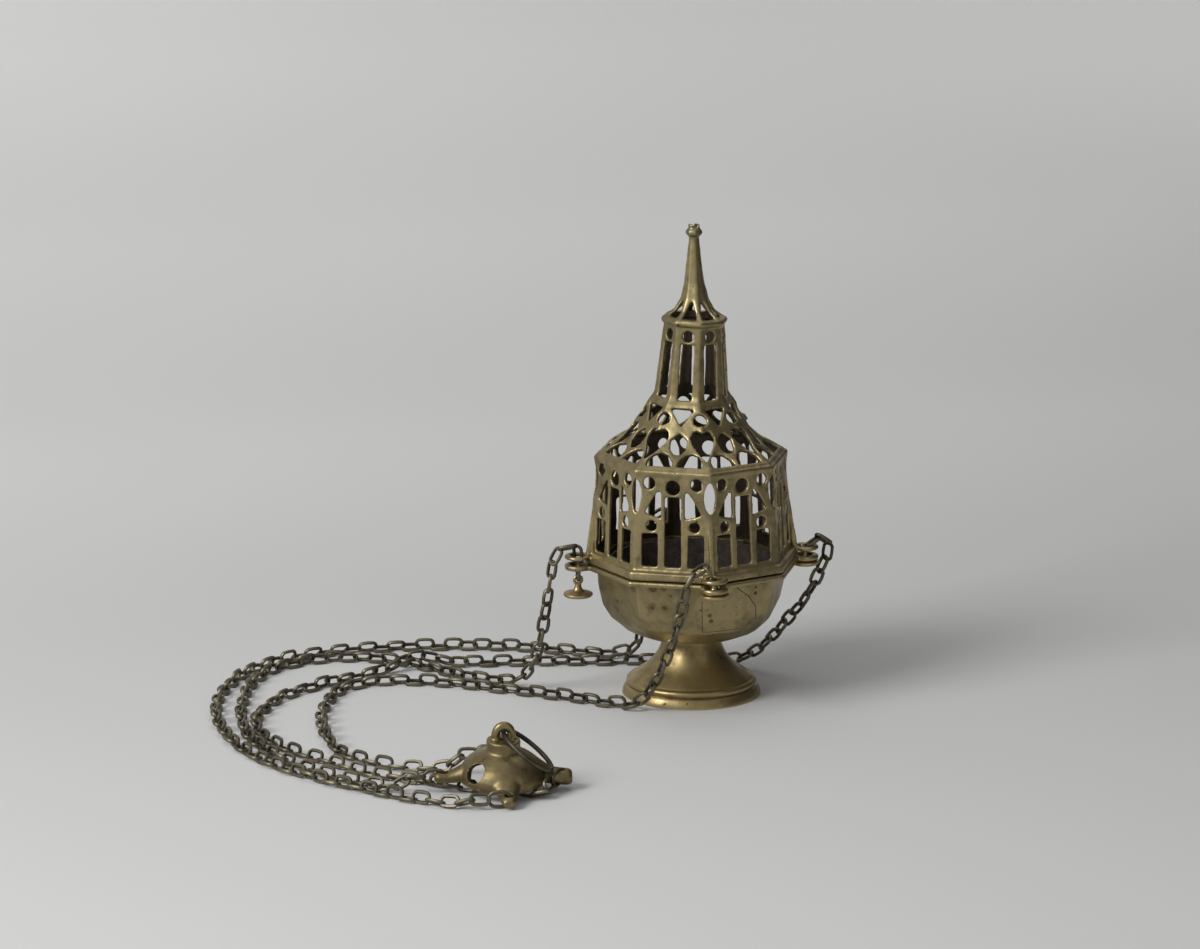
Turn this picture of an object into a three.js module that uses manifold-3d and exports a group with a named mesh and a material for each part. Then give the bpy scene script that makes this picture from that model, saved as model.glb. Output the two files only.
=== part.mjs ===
// A Gothic thurible: an eight-sided brass censer on a round foot, with a pierced lid that slides on
// four chains, and the four-armed hand plate that the chains run to, all lying as put down on a table.
// Millimetres, +Z up. The origin is on the ground at the centre of the foot, and a chain lug of the
// bowl and of the lid points along each of -Y (front), +X (right), +Y (back) and -X (left).
import * as THREE from "three";
import { mergeVertices } from "three/addons/utils/BufferGeometryUtils.js";
import Module from "manifold-3d";

const wasm = await Module();
wasm.setup();

// Running and resting clearance
const gap = 0.3;

// Foot
const footRadius = 34.8;
const footHeight = 29.5;
const footNeckRadius = 14.4;
const footWall = 2.4;
const footRestWidth = 4.5;
const bandHeight = 5.2;
const bandTaper = 1.6;
const beadHeight = 2.9;
const grooveDepth = 0.8;

// Rivet that holds the foot to the bowl
const rivetRadius = 3;
const rivetHeadRadius = 5.4;
const rivetHeadHeight = 2;

// Bowl
const sides = 8;
const bowlDepth = 40.1;
const bowlRadius = 48.8;
const bowlWall = 2.2;
const bowlFlangeWidth = 7.1;
const bowlFlangeThickness = 2.4;
const flangeDroop = 0.6;

// Coal pan
const panRoom = 6.2;
const panWall = 1.5;
const panFloorRadius = 15;
const panRimDrop = 0.7;
const panLipWidth = 1.3;
const panSideLean = 5;

// Lugs, the rings at every second corner that the chains pass through
const lugCount = 4;
const lugOverhang = 2.4;
const lugRadius = 7;
const lugHoleRadius = 3.9;
const bowlLugThickness = 3;
const lidLugThickness = 2;
const lugTopDrop = 0.2;

// Lid drum
const drumHeight = 54.8;
const drumInset = 4.1;
const drumTaper = 2.6;
const drumWall = 2.2;
const lidFlangeInset = 1.1;
const lidFlangeHeight = 4.4;
const finHeight = 32;
const finThickness = 2.4;

// Tracery of one side of the drum: drops are measured down from the shoulder
const tallSlotWidth = 8.2;
const tallSlotDrop = 13.2;
const shortSlotWidth = 8;
const shortSlotOffset = 11.7;
const shortSlotDrop = 31.5;
const slotSill = 2.4;
const bigCircleRadius = 3.7;
const bigCircleDrop = 8.2;
const sideCircleRadius = 3.1;
const sideCircleOffset = 12;
const sideCircleDrop = 6.4;
const smallCircleRadius = 2.75;
const smallCircleOffset = 10.9;
const smallCircleDrop = 27.6;
const lightInner = 6;
const lightOuter = 14.3;
const lightTopDrop = 10.4;
const lightPointDrop = 21.2;
const lightSillDrop = 23.7;
const vesicaWidth = 5.8;
const vesicaTopDrop = 4.3;
const vesicaBottomDrop = 22.4;

// Roof
const roofWall = 2.1;
const roofEaveInset = 1.3;
const shoulderRoll = 0.4;
const roofEaveHeight = 0.9;
const roofTopRadius = 21.1;
const roofHeight = 28;

// Tracery of the roof: rises are measured up from the shoulder
const heartWidth = 12;
const heartBottomRise = 4.2;
const heartTopRise = 17.6;
const eggWidth = 7.3;
const eggBottomRise = 19;
const eggTopRise = 24.6;
const triangleWidth = 11.4;
const triangleBottomRise = 18.2;
const triangleTopRise = 26.2;
const dropWidth = 9;
const dropBottomRise = 6.3;
const dropTopRise = 15.6;
const halfMoonWidth = 13.2;
const halfMoonOffset = 7.7;
const halfMoonBottomRise = 2;
const halfMoonTopRise = 7;

// Lantern
const lanternHeight = 37.6;
const lanternBottomRadius = 18.9;
const lanternTopRadius = 15.6;
const lanternWall = 1.9;
const lanternFlareHeight = 3.6;
const lanternSlotWidth = 7;
const lanternSlotSill = 1.7;
const lanternSlotHeight = 27.5;
const lanternCircleRadius = 2.9;
const lanternCircleDrop = 4.5;

// Moulded ring under the spire
const ringMouldHeight = 3.2;
const ringMouldRadius = 17.1;
const ringMouldBore = 12.4;

// Spire and its broken finial
const spireHeight = 40.2;
const spireFootRadius = 15.6;
const spireFootHeight = 9.2;
const spireWaistRadius = 7.3;
const spireTopRadius = 2.6;
const spireShell = 1.6;
const goreWidth = 8.6;
const goreHeight = 9.4;
const knobRadius = 4.5;
const knobHeight = 4;
const stubHeight = 2;

// Buttons that hang below the bowl lugs, and the bent-wire links
const buttonRadius = 7.5;
const buttonThickness = 2.2;
const buttonStemRadius = 1.4;
const buttonStemHeight = 6.5;
const buttonEyeRadius = 2.6;
const buttonEyeHole = 1.15;
const leftButtonDrop = 11.7;
const linkWire = 1.5;
const linkLength = 10.6;
const linkWidth = 6.2;

// Hand plate, its loop and carrying ring
const plateX = -121.5;
const plateY = -155.2;
const plateTurn = -3;
const plateRoll = 1;
const platePitch = 6;
const plateLift = 6.2;
const domeRadius = 20.6;
const domeHeight = 14.8;
const domeWall = 2;
const armReach = 32;
const armRootWidth = 13;
const armTipWidth = 6.6;
const armTipThickness = 4.6;
const armHoleInset = 4;
const armHoleRadius = 2;
const windowRadius = 5;
const windowLean = 34;
const collarRadius = 7.9;
const collarHeight = 5.6;
const loopWidth = 13.6;
const loopHeight = 7.4;
const loopThickness = 4.8;
const loopHoleRadius = 2.4;
const ringRadius = 14.6;
const ringWire = 2.3;
const ringLean = 37;
const armLinkLength = 12;
const armLinkWidth = 8.2;

// Chains: a plain tube stands for each free stretch of links
const chainTube = 3.6;
const dropStep = 5.5;
const floorStep = 11.8;

// Heights that follow from the sizes above
const bowlFlangeRadius = bowlRadius + bowlFlangeWidth;
const panRadius = bowlRadius - panRoom;
const lugReach = bowlFlangeRadius + lugOverhang;
const drumBottomRadius = bowlFlangeRadius - drumInset;
const drumTopRadius = drumBottomRadius - drumTaper;
const lidFlangeRadius = bowlFlangeRadius - lidFlangeInset;
const armHoleReach = armReach - armHoleInset;
const bowlBottom = footHeight + gap;
const rimTop = bowlBottom + bowlDepth;
const lidBottom = rimTop + gap;
const lidFlangeTop = lidBottom + lidFlangeHeight;
const shoulder = lidBottom + drumHeight;
const roofBottom = shoulder + gap;
const roofTop = roofBottom + roofHeight;
const lanternBottom = roofTop + gap;
const lanternTop = lanternBottom + lanternHeight;
const mouldBottom = lanternTop + gap;
const mouldTop = mouldBottom + ringMouldHeight;
const spireBottom = mouldTop + gap;
const bowlLugTop = rimTop - lugTopDrop;
const bowlLugBottom = bowlLugTop - bowlLugThickness;
const lidLugTop = lidFlangeTop - lugTopDrop;
const eighth = (2 * Math.PI) / sides;
const flatToCorner = Math.cos(eighth / 2);
const radians = Math.PI / 180;

// A closed geometry as a solid, and a solid as a geometry
function solidOf(geometry) {
  const bare = geometry.clone();
  bare.deleteAttribute("normal");
  bare.deleteAttribute("uv");
  const merged = mergeVertices(bare, 1e-4);
  const triVerts = new Uint32Array(merged.index.array);
  const vertProperties = merged.attributes.position.array;
  return new wasm.Manifold(new wasm.Mesh({ numProp: 3, vertProperties, triVerts }));
}

function geometryOf(solid) {
  const { vertProperties, triVerts } = solid.getMesh();
  const geometry = new THREE.BufferGeometry();
  geometry.setAttribute("position", new THREE.BufferAttribute(new Float32Array(vertProperties), 3));
  geometry.setIndex(new THREE.BufferAttribute(new Uint32Array(triVerts), 1));
  geometry.computeVertexNormals();
  return geometry;
}

function joined(solids) {
  return solids.reduce((all, one) => all.add(one));
}

// A profile of [radius, height] points turned round the upright axis. It runs up the outside and down the inside.
function turned(profile, segments) {
  const points = profile.map(([r, z]) => new THREE.Vector2(r, z));
  return new THREE.LatheGeometry(points, segments).rotateX(Math.PI / 2);
}

// The same profile moved inwards by a wall, listed from its end back to its start
function insideOf(profile, wall) {
  const inner = profile.map(([r, z], i) => {
    const before = profile[Math.max(i - 1, 0)];
    const after = profile[Math.min(i + 1, profile.length - 1)];
    const run = Math.hypot(after[0] - before[0], after[1] - before[1]);
    return [r - ((after[1] - before[1]) / run) * wall, z + ((after[0] - before[0]) / run) * wall];
  });
  return inner.reverse();
}

function closedLoop(outline) {
  return [...outline, outline[0]];
}

// The value of a [radius, height] profile at one height
function radiusAt(profile, height) {
  const upper = profile.findIndex(([, z]) => z >= height);
  if (upper <= 0) return profile[upper < 0 ? profile.length - 1 : 0][0];
  const [r0, z0] = profile[upper - 1];
  const [r1, z1] = profile[upper];
  return r0 + ((height - z0) / (z1 - z0)) * (r1 - r0);
}

// Flat outlines, as [across, height] points
function ellipse(across, height, halfWidth, halfHeight, count) {
  return Array.from({ length: count }, (_, i) => {
    const a = ((i + 0.5) / count) * 2 * Math.PI;
    return [across + halfWidth * Math.cos(a), height + halfHeight * Math.sin(a)];
  });
}

function circle(across, height, radius) {
  return ellipse(across, height, radius, radius, radius > 3.2 ? 12 : radius > 2 ? 10 : 8);
}

function rectangle(across, bottom, width, top) {
  const half = width / 2;
  return [[across - half, bottom], [across + half, bottom], [across + half, top], [across - half, top]];
}

function mirrored(outline) {
  return outline.map(([u, z]) => [-u, z]).reverse();
}

// A drop with a point at its bottom (or, with the heights swapped, at its top)
function pointedDrop(width, pointHeight, roundHeight) {
  const way = Math.sign(roundHeight - pointHeight);
  const radius = width / 2;
  const length = Math.abs(roundHeight - pointHeight);
  const centre = roundHeight - way * Math.min(radius, length / 2);
  const cap = Math.min(radius, length / 2);
  const arc = [-0.12, 0.16, 0.36, 0.5, 0.64, 0.84, 1.12].map((part) => {
    const a = part * Math.PI;
    return [radius * Math.cos(a), centre + way * cap * Math.sin(a)];
  });
  const outline = [[0, pointHeight], ...arc];
  return way > 0 ? outline : outline.reverse();
}

// A leaf with a point at each end, widest a little above its middle
function leaf(width, bottom, top) {
  const half = [[0.22, 0.64], [0.5, 1], [0.72, 0.9], [0.9, 0.5]].map(([part, share]) => [
    (share * width) / 2,
    bottom + part * (top - bottom),
  ]);
  return [[0, bottom], ...half, [0, top], ...mirrored(half)];
}

// A heart, point down, on two lobes
function heart(width, bottom, top) {
  const lobe = width / 4;
  const tall = Math.min(lobe * 1.15, (top - bottom) / 3);
  const centre = top - tall;
  const half = [-0.2, 0.1, 0.35, 0.55, 0.75].map((part) => {
    const a = part * Math.PI;
    return [lobe + lobe * Math.cos(a), centre + tall * Math.sin(a)];
  });
  const notch = [0, centre + tall * 0.6];
  return [[0, bottom], ...half, notch, ...mirrored(half)];
}

// A half moon standing on its flat side
function halfMoon(across, width, bottom, top) {
  return [0, 0.14, 0.32, 0.5, 0.68, 0.86, 1].map((part) => {
    const a = part * Math.PI;
    return [across + (width / 2) * Math.cos(a), bottom + (top - bottom) * Math.sin(a)];
  });
}

// A cutter through a wall that faces one azimuth. reach gives the wall's distance from the axis at
// each height, lean how far its face looks upwards, and depth how far the cutter goes to each side.
function cutter(outline, reach, azimuth, lean, depth) {
  const rise = (z) => z * Math.cos(lean) - reach(z) * Math.sin(lean);
  const outward = (z) => z * Math.sin(lean) + reach(z) * Math.cos(lean);
  const shape = new THREE.Shape(outline.map(([u, z]) => new THREE.Vector2(u, rise(z))));
  const middle = outline.reduce((sum, [, z]) => sum + outward(z), 0) / outline.length;
  const prism = new THREE.ExtrudeGeometry(shape, { depth: 2 * depth, bevelEnabled: false });
  prism.translate(0, 0, middle - depth);
  const across = new THREE.Vector3(-Math.sin(azimuth), Math.cos(azimuth), 0);
  const outwards = new THREE.Vector3(Math.cos(azimuth), Math.sin(azimuth), 0);
  const normal = outwards.clone().multiplyScalar(Math.cos(lean)).add(new THREE.Vector3(0, 0, Math.sin(lean)));
  const upwards = new THREE.Vector3().crossVectors(normal, across);
  prism.applyMatrix4(new THREE.Matrix4().makeBasis(across, upwards, normal));
  return solidOf(prism);
}

// Cuts one set of outlines through every side or every corner of an eight-sided shell
function cutAll(shell, outlines, reach, firstAzimuth, lean, depth) {
  const cutters = [];
  for (let i = 0; i < sides; i += 1) {
    for (const outline of outlines) {
      cutters.push(cutter(outline, reach, firstAzimuth + i * eighth, lean, depth));
    }
  }
  return shell.subtract(joined(cutters));
}

// A part standing at the front lug, repeated at all four
function atEachLug(geometry) {
  return Array.from({ length: lugCount }, (_, i) =>
    solidOf(geometry.clone().rotateZ((i * 2 * Math.PI) / lugCount)),
  );
}

function lugRing(bottom, top) {
  const soft = 0.6;
  const profile = [
    [0, bottom],
    [lugRadius - soft, bottom],
    [lugRadius, bottom + soft],
    [lugRadius, top - soft],
    [lugRadius - soft, top],
    [0, top],
  ];
  return turned(profile, 16).translate(0, -lugReach, 0);
}

function lugHole(bottom, top) {
  const drill = new THREE.CylinderGeometry(lugHoleRadius, lugHoleRadius, top - bottom + 4, 12);
  return drill.rotateX(Math.PI / 2).translate(0, -lugReach, (bottom + top) / 2);
}

// Foot: a trumpet with a plain band and a bead round its base, hollow below, closed at the top
function makeFoot() {
  const beadTop = bandHeight + beadHeight;
  const bandRadius = footRadius - bandTaper;
  const beadRadius = bandRadius - grooveDepth * 0.7;
  const flareRadius = beadRadius - grooveDepth * 2;
  const flare = new THREE.CubicBezierCurve(
    new THREE.Vector2(flareRadius, beadTop + 0.5),
    new THREE.Vector2(flareRadius * 0.76, beadTop + (footHeight - beadTop) * 0.27),
    new THREE.Vector2(footNeckRadius * 1.14, beadTop + (footHeight - beadTop) * 0.42),
    new THREE.Vector2(footNeckRadius, footHeight),
  );
  const outside = [
    [footRadius, 0],
    [footRadius - 0.1, 0.8],
    [bandRadius, bandHeight - 0.5],
    [bandRadius - grooveDepth, bandHeight],
    [beadRadius, bandHeight + beadHeight * 0.3],
    [beadRadius - 0.2, bandHeight + beadHeight * 0.7],
    [beadRadius - grooveDepth * 1.6, beadTop],
    ...flare.getPoints(6).map((p) => [p.x, p.y]),
  ];
  const hollow = flare.getPoints(3).map((p) => [p.x - footWall * 1.15, Math.min(p.y, footHeight - footWall)]);
  const inside = [
    [rivetRadius + gap, footHeight],
    [rivetRadius + gap, footHeight - footWall],
    ...hollow.reverse(),
    [footRadius - footRestWidth, bandHeight * 0.4],
    [footRadius - footRestWidth, 0],
  ];
  return solidOf(turned(closedLoop([...outside, ...inside]), 28));
}

function makeRivet() {
  const underside = footHeight - footWall - gap;
  const top = bowlBottom + bowlWall + gap;
  const profile = [
    [0, underside - rivetHeadHeight],
    [rivetHeadRadius * 0.7, underside - rivetHeadHeight * 0.9],
    [rivetHeadRadius, underside],
    [rivetRadius, underside],
    [rivetRadius, top],
    [rivetHeadRadius, top],
    [rivetHeadRadius * 0.75, top + rivetHeadHeight * 0.85],
    [0, top + rivetHeadHeight],
  ];
  return solidOf(turned(profile, 16));
}

// Bowl: round at the bottom and eight-sided at the rim, as [radius, height, how eight-sided]
const bowlOutside = [
  [footNeckRadius * 0.6, bowlBottom, 0],
  [footNeckRadius, bowlBottom, 0],
  [bowlRadius * 0.53, bowlBottom + bowlDepth * 0.05, 0],
  [bowlRadius * 0.71, bowlBottom + bowlDepth * 0.14, 0.08],
  [bowlRadius * 0.85, bowlBottom + bowlDepth * 0.28, 0.45],
  [bowlRadius * 0.94, bowlBottom + bowlDepth * 0.46, 0.85],
  [bowlRadius * 0.985, bowlBottom + bowlDepth * 0.7, 1],
  [bowlRadius, rimTop - bowlFlangeThickness - flangeDroop, 1],
];

function bowlLining() {
  const plain = bowlOutside.slice(1).map(([r, z]) => [r, z]);
  const lining = insideOf(plain, bowlWall).reverse();
  lining[0] = [footNeckRadius, bowlBottom + bowlWall];
  return lining.map(([r, z], i) => [r, z, bowlOutside[i + 1][2]]);
}

// Rings of points joined into one closed surface that returns to its first ring
function lofted(rings, around) {
  const corners = [];
  for (const [radius, height, squareness] of rings) {
    for (let k = 0; k < around; k += 1) {
      const a = (k / around) * 2 * Math.PI;
      const fromFlat = (((a % eighth) + eighth) % eighth) - eighth / 2;
      const flat = flatToCorner / Math.cos(fromFlat);
      const reach = radius * (1 - squareness + squareness * flat);
      corners.push(reach * Math.cos(a), reach * Math.sin(a), height);
    }
  }
  const index = [];
  rings.forEach((_, ring) => {
    const next = (ring + 1) % rings.length;
    for (let k = 0; k < around; k += 1) {
      const beside = (k + 1) % around;
      const [a, b] = [ring * around + k, ring * around + beside];
      const [c, d] = [next * around + k, next * around + beside];
      index.push(a, b, d, a, d, c);
    }
  });
  const geometry = new THREE.BufferGeometry();
  geometry.setAttribute("position", new THREE.Float32BufferAttribute(corners, 3));
  geometry.setIndex(index);
  return geometry;
}

function makeBowl() {
  const lining = bowlLining();
  const top = lining[lining.length - 1];
  const outer = bowlOutside.slice(1);
  const rings = [
    [rivetRadius + gap, bowlBottom, 0],
    ...outer,
    [bowlFlangeRadius, rimTop - bowlFlangeThickness - flangeDroop, 1],
    [bowlFlangeRadius, rimTop - flangeDroop, 1],
    [bowlRadius + 2, rimTop, 1],
    [top[0], rimTop, 1],
    ...lining.reverse(),
    [rivetRadius + gap, bowlBottom + bowlWall, 0],
  ];
  return joined([solidOf(lofted(rings, 4 * sides)), ...atEachLug(lugRing(bowlLugBottom, bowlLugTop))]).subtract(
    joined(atEachLug(lugHole(bowlLugBottom, bowlLugTop))),
  );
}

// Coal pan: a plain round iron cup that sits on the bowl's lining
function makeCoalPan() {
  const seat = bowlLining().map(([r, z]) => [r - gap * 3.5, z]);
  const floor = bowlBottom + bowlWall + rivetHeadHeight + 2 * gap;
  const rim = rimTop - panRimDrop;
  const wallFoot = radiusAt(seat, floor + bowlDepth * 0.14);
  const shoulderHeight = floor + bowlDepth * 0.3;
  const outside = [
    [0, floor],
    [panFloorRadius, floor],
    [radiusAt(seat, floor + bowlDepth * 0.05), floor + bowlDepth * 0.05],
    [wallFoot, floor + bowlDepth * 0.14],
    [Math.min(panRadius - panSideLean * 0.2, radiusAt(seat, shoulderHeight) * flatToCorner), shoulderHeight],
    [panRadius, rim - 1.5],
    [panRadius + panLipWidth * 0.3, rim - 1],
    [panRadius + panLipWidth * 0.3, rim],
  ];
  const lining = [
    [panRadius - panWall - panLipWidth * 0.5, rim],
    [panRadius - panWall, rim - 1.5],
    [outside[4][0] - panWall * 1.1, outside[4][1]],
    [wallFoot - panWall * 1.2, outside[3][1] + panWall * 0.8],
    [panFloorRadius, floor + panWall],
    [0, floor + panWall],
  ];
  return solidOf(turned([...outside, ...lining], 24));
}

// Lid drum: the pierced eight-sided wall with its flange, four lugs and the fins that run down to them
function drumCorner(height) {
  const part = (height - lidFlangeTop) / (shoulder - lidFlangeTop);
  return drumBottomRadius + part * (drumTopRadius - drumBottomRadius);
}

function drumShell() {
  const profile = [
    [drumBottomRadius - drumWall, lidBottom],
    [lidFlangeRadius - 0.4, lidBottom],
    [lidFlangeRadius, lidBottom + 0.5],
    [lidFlangeRadius - 0.4, lidFlangeTop - 0.5],
    [drumBottomRadius + 0.6, lidFlangeTop],
    [drumBottomRadius, lidFlangeTop + 0.6],
    [drumTopRadius + drumTaper * 0.05, shoulder - 3.4],
    [drumTopRadius + shoulderRoll, shoulder - 2],
    [drumTopRadius + shoulderRoll, shoulder - 0.8],
    [drumTopRadius - 0.2, shoulder],
    [drumTopRadius - drumWall, shoulder],
    [drumBottomRadius - drumWall, lidFlangeTop],
  ];
  return solidOf(turned(closedLoop(profile), sides));
}

function drumFin() {
  const top = lidFlangeTop + finHeight;
  const outer = lugReach - lugHoleRadius - 0.1;
  const shape = new THREE.Shape();
  shape.moveTo(drumCorner(top) - drumWall / 2, top);
  shape.quadraticCurveTo(drumBottomRadius + 0.9, lidFlangeTop + finHeight * 0.35, outer, lidFlangeTop - 0.5);
  shape.lineTo(drumBottomRadius - drumWall / 2, lidFlangeTop - 0.5);
  const plate = new THREE.ExtrudeGeometry(shape, { depth: finThickness, bevelEnabled: false, curveSegments: 5 });
  return plate.translate(0, 0, -finThickness / 2).rotateX(Math.PI / 2).rotateZ(-Math.PI / 2);
}

function drumTracery() {
  const sill = lidFlangeTop + slotSill;
  const light = [
    [lightInner, shoulder - lightSillDrop],
    [lightOuter - 3, shoulder - lightSillDrop + 1.2],
    [lightOuter, shoulder - lightPointDrop],
    [lightOuter - 4, shoulder - lightTopDrop - 3.8],
    [lightInner + 1.6, shoulder - lightTopDrop],
    [lightInner, shoulder - lightTopDrop - 0.4],
  ];
  const oneHalf = [
    circle(sideCircleOffset, shoulder - sideCircleDrop, sideCircleRadius),
    circle(smallCircleOffset, shoulder - smallCircleDrop, smallCircleRadius),
    rectangle(shortSlotOffset, sill, shortSlotWidth, shoulder - shortSlotDrop),
    light,
  ];
  return [
    circle(0, shoulder - bigCircleDrop, bigCircleRadius),
    rectangle(0, sill, tallSlotWidth, shoulder - tallSlotDrop),
    ...oneHalf,
    ...oneHalf.map(mirrored),
  ];
}

function makeDrum() {
  const flat = (z) => drumCorner(z) * flatToCorner;
  const vesica = leaf(vesicaWidth, shoulder - vesicaBottomDrop, shoulder - vesicaTopDrop);
  const cutDepth = drumWall * 2.4;
  const pierced = cutAll(
    cutAll(drumShell(), drumTracery(), flat, eighth / 2, 0, cutDepth),
    [vesica], drumCorner, 0, 0, cutDepth,
  );
  const lugs = atEachLug(lugRing(lidLugTop - lidLugThickness, lidLugTop));
  return joined([pierced, ...lugs, ...atEachLug(drumFin())]).subtract(
    joined(atEachLug(lugHole(lidLugTop - lidLugThickness, lidLugTop + 1))),
  );
}

// Roof: a slightly hollow eight-sided slope of cast tracery between the shoulder and the lantern
const eaveRadius = drumTopRadius - roofEaveInset;
const roofSlope = [
  [eaveRadius, roofBottom],
  [eaveRadius - 0.3, roofBottom + roofEaveHeight],
  [roofTopRadius + (eaveRadius - roofTopRadius) * 0.61, roofBottom + roofHeight * 0.25],
  [roofTopRadius + (eaveRadius - roofTopRadius) * 0.41, roofBottom + roofHeight * 0.45],
  [roofTopRadius + (eaveRadius - roofTopRadius) * 0.28, roofBottom + roofHeight * 0.62],
  [roofTopRadius + (eaveRadius - roofTopRadius) * 0.1, roofBottom + roofHeight * 0.85],
  [roofTopRadius, roofTop],
];

function makeRoof() {
  const lining = insideOf(roofSlope, roofWall);
  lining[0] = [roofTopRadius - roofWall, roofTop];
  lining[lining.length - 1] = [eaveRadius - roofWall * 1.5, roofBottom];
  lining[lining.length - 2] = [eaveRadius - roofWall * 1.8, roofBottom + roofEaveHeight * 0.3];
  const shell = solidOf(turned(closedLoop([...roofSlope, ...lining]), sides));
  const corner = (z) => radiusAt(roofSlope, z);
  const flat = (z) => corner(z) * flatToCorner;
  const lean = Math.atan2(eaveRadius - roofTopRadius, roofHeight);
  const cutDepth = roofWall * 2.2;
  const moon = halfMoon(halfMoonOffset, halfMoonWidth, roofBottom + halfMoonBottomRise, roofBottom + halfMoonTopRise);
  const triangle = [
    [0, roofBottom + triangleBottomRise],
    [triangleWidth / 2, roofBottom + triangleTopRise - 0.4],
    [triangleWidth / 2 - 0.6, roofBottom + triangleTopRise],
    [0.6 - triangleWidth / 2, roofBottom + triangleTopRise],
    [-triangleWidth / 2, roofBottom + triangleTopRise - 0.4],
  ];
  const onSides = [triangle, pointedDrop(dropWidth, roofBottom + dropTopRise, roofBottom + dropBottomRise)];
  const eggHeight = eggTopRise - eggBottomRise;
  const egg = ellipse(0, roofBottom + eggBottomRise + eggHeight / 2, eggWidth / 2, eggHeight / 2, 8);
  const onCorners = [heart(heartWidth, roofBottom + heartBottomRise, roofBottom + heartTopRise), egg];
  const eaveLean = lean * 1.25;
  const withSides = cutAll(shell, onSides, flat, eighth / 2, lean, cutDepth);
  const withMoons = cutAll(withSides, [moon, mirrored(moon)], flat, eighth / 2, eaveLean, cutDepth);
  return cutAll(withMoons, onCorners, corner, 0, lean, cutDepth);
}

// Lantern: eight posts with a round hole over a tall slot on each side
function makeLantern() {
  const bodyBottom = lanternBottom + lanternFlareHeight;
  const outside = [
    [roofTopRadius - 0.1, lanternBottom],
    [lanternBottomRadius + 0.6, lanternBottom + lanternFlareHeight * 0.6],
    [lanternBottomRadius, bodyBottom],
    [lanternTopRadius, lanternTop],
  ];
  const bore = [
    [lanternTopRadius - lanternWall, lanternTop],
    [lanternBottomRadius - lanternWall, bodyBottom],
    [roofTopRadius - roofWall - 0.1, lanternBottom],
  ];
  const shell = solidOf(turned(closedLoop([...outside, ...bore]), sides));
  const flat = (z) => radiusAt(outside, z) * flatToCorner;
  const sill = lanternBottom + lanternSlotSill;
  const outlines = [
    rectangle(0, sill, lanternSlotWidth, sill + lanternSlotHeight),
    circle(0, lanternTop - lanternCircleDrop, lanternCircleRadius),
  ];
  return cutAll(shell, outlines, flat, eighth / 2, 0, lanternWall * 2);
}

function makeRingMould() {
  const profile = [
    [lanternTopRadius - 0.2, mouldBottom],
    [ringMouldRadius - 0.3, mouldBottom + ringMouldHeight * 0.25],
    [ringMouldRadius, mouldBottom + ringMouldHeight * 0.65],
    [ringMouldRadius - 1, mouldTop],
    [ringMouldBore, mouldTop],
    [ringMouldBore, mouldBottom],
  ];
  return solidOf(turned(closedLoop(profile), sides));
}

// Spire: eight legs that sweep up into a solid needle, with a knob and the stub of a broken eye
function makeSpire() {
  const footTop = spireBottom + spireFootHeight;
  const needleTop = spireBottom + spireHeight;
  const outside = [
    [spireFootRadius, spireBottom],
    [spireFootRadius - 1.6, spireBottom + 0.9],
    [spireFootRadius * 0.68, spireBottom + spireFootHeight * 0.36],
    [spireWaistRadius, footTop],
    [spireTopRadius + (spireWaistRadius - spireTopRadius) * 0.58, spireBottom + spireHeight * 0.42],
    [spireTopRadius + (spireWaistRadius - spireTopRadius) * 0.26, spireBottom + spireHeight * 0.7],
    [spireTopRadius, needleTop],
    [knobRadius * 0.84, needleTop + knobHeight * 0.14],
    [knobRadius, needleTop + knobHeight * 0.42],
    [knobRadius * 0.9, needleTop + knobHeight * 0.78],
    [knobRadius * 0.62, needleTop + knobHeight],
    [knobRadius * 0.7, needleTop + knobHeight + stubHeight],
    [0, needleTop + knobHeight + stubHeight],
  ];
  const hollow = [
    [0, footTop - spireShell * 1.5],
    [spireWaistRadius - spireShell, footTop - spireShell * 1.8],
    [spireFootRadius * 0.68 - spireShell * 0.8, spireBottom + spireFootHeight * 0.36 - spireShell * 0.5],
    [spireFootRadius - spireShell * 2, spireBottom],
  ];
  const needle = solidOf(turned([...hollow, ...outside], sides));
  const flat = (z) => radiusAt(outside, z) * flatToCorner;
  const gore = [
    [-goreWidth / 2, spireBottom - 0.5],
    [goreWidth / 2, spireBottom - 0.5],
    [goreWidth * 0.27, spireBottom + goreHeight * 0.4],
    [0, spireBottom + goreHeight],
    [-goreWidth * 0.27, spireBottom + goreHeight * 0.4],
  ];
  const legs = cutAll(needle, [gore], flat, eighth / 2, Math.PI / 6, spireFootRadius * 0.45);
  const notchTop = needleTop + knobHeight + stubHeight;
  const notch = new THREE.BoxGeometry(knobRadius * 0.5, knobRadius * 3, stubHeight * 2);
  return legs.subtract(solidOf(notch.rotateZ(eighth / 3).translate(0, 0, notchTop + gap)));
}

// The lid has sagged a little in use: [height, shift to the right, fall to the right per mm]
const lidLean = [
  [lidFlangeTop, 0, 0],
  [shoulder, -0.6, 0.01],
  [roofTop, -0.7, 0.025],
  [lanternTop, 0.8, 0.04],
  [spireBottom, 0.85, 0.04],
  [spireBottom + spireHeight, 0.35, 0.02],
];

function leaned(solid) {
  const rightX = Math.cos(11 * radians);
  const rightY = -Math.sin(11 * radians);
  return solid.warp((point) => {
    const across = point[0] * rightX + point[1] * rightY;
    const upper = lidLean.findIndex(([height]) => height >= point[2]);
    if (upper === 0) return;
    const [h1, shift1, fall1] = upper < 0 ? lidLean[lidLean.length - 1] : lidLean[upper];
    const [h0, shift0, fall0] = upper < 0 ? [h1 - 1, shift1, fall1] : lidLean[upper - 1];
    const part = Math.min((point[2] - h0) / (h1 - h0), 1);
    const shift = shift0 + (shift1 - shift0) * part;
    point[0] += shift * rightX;
    point[1] += shift * rightY;
    point[2] -= across * (fall0 + (fall1 - fall0) * part);
  });
}

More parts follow.
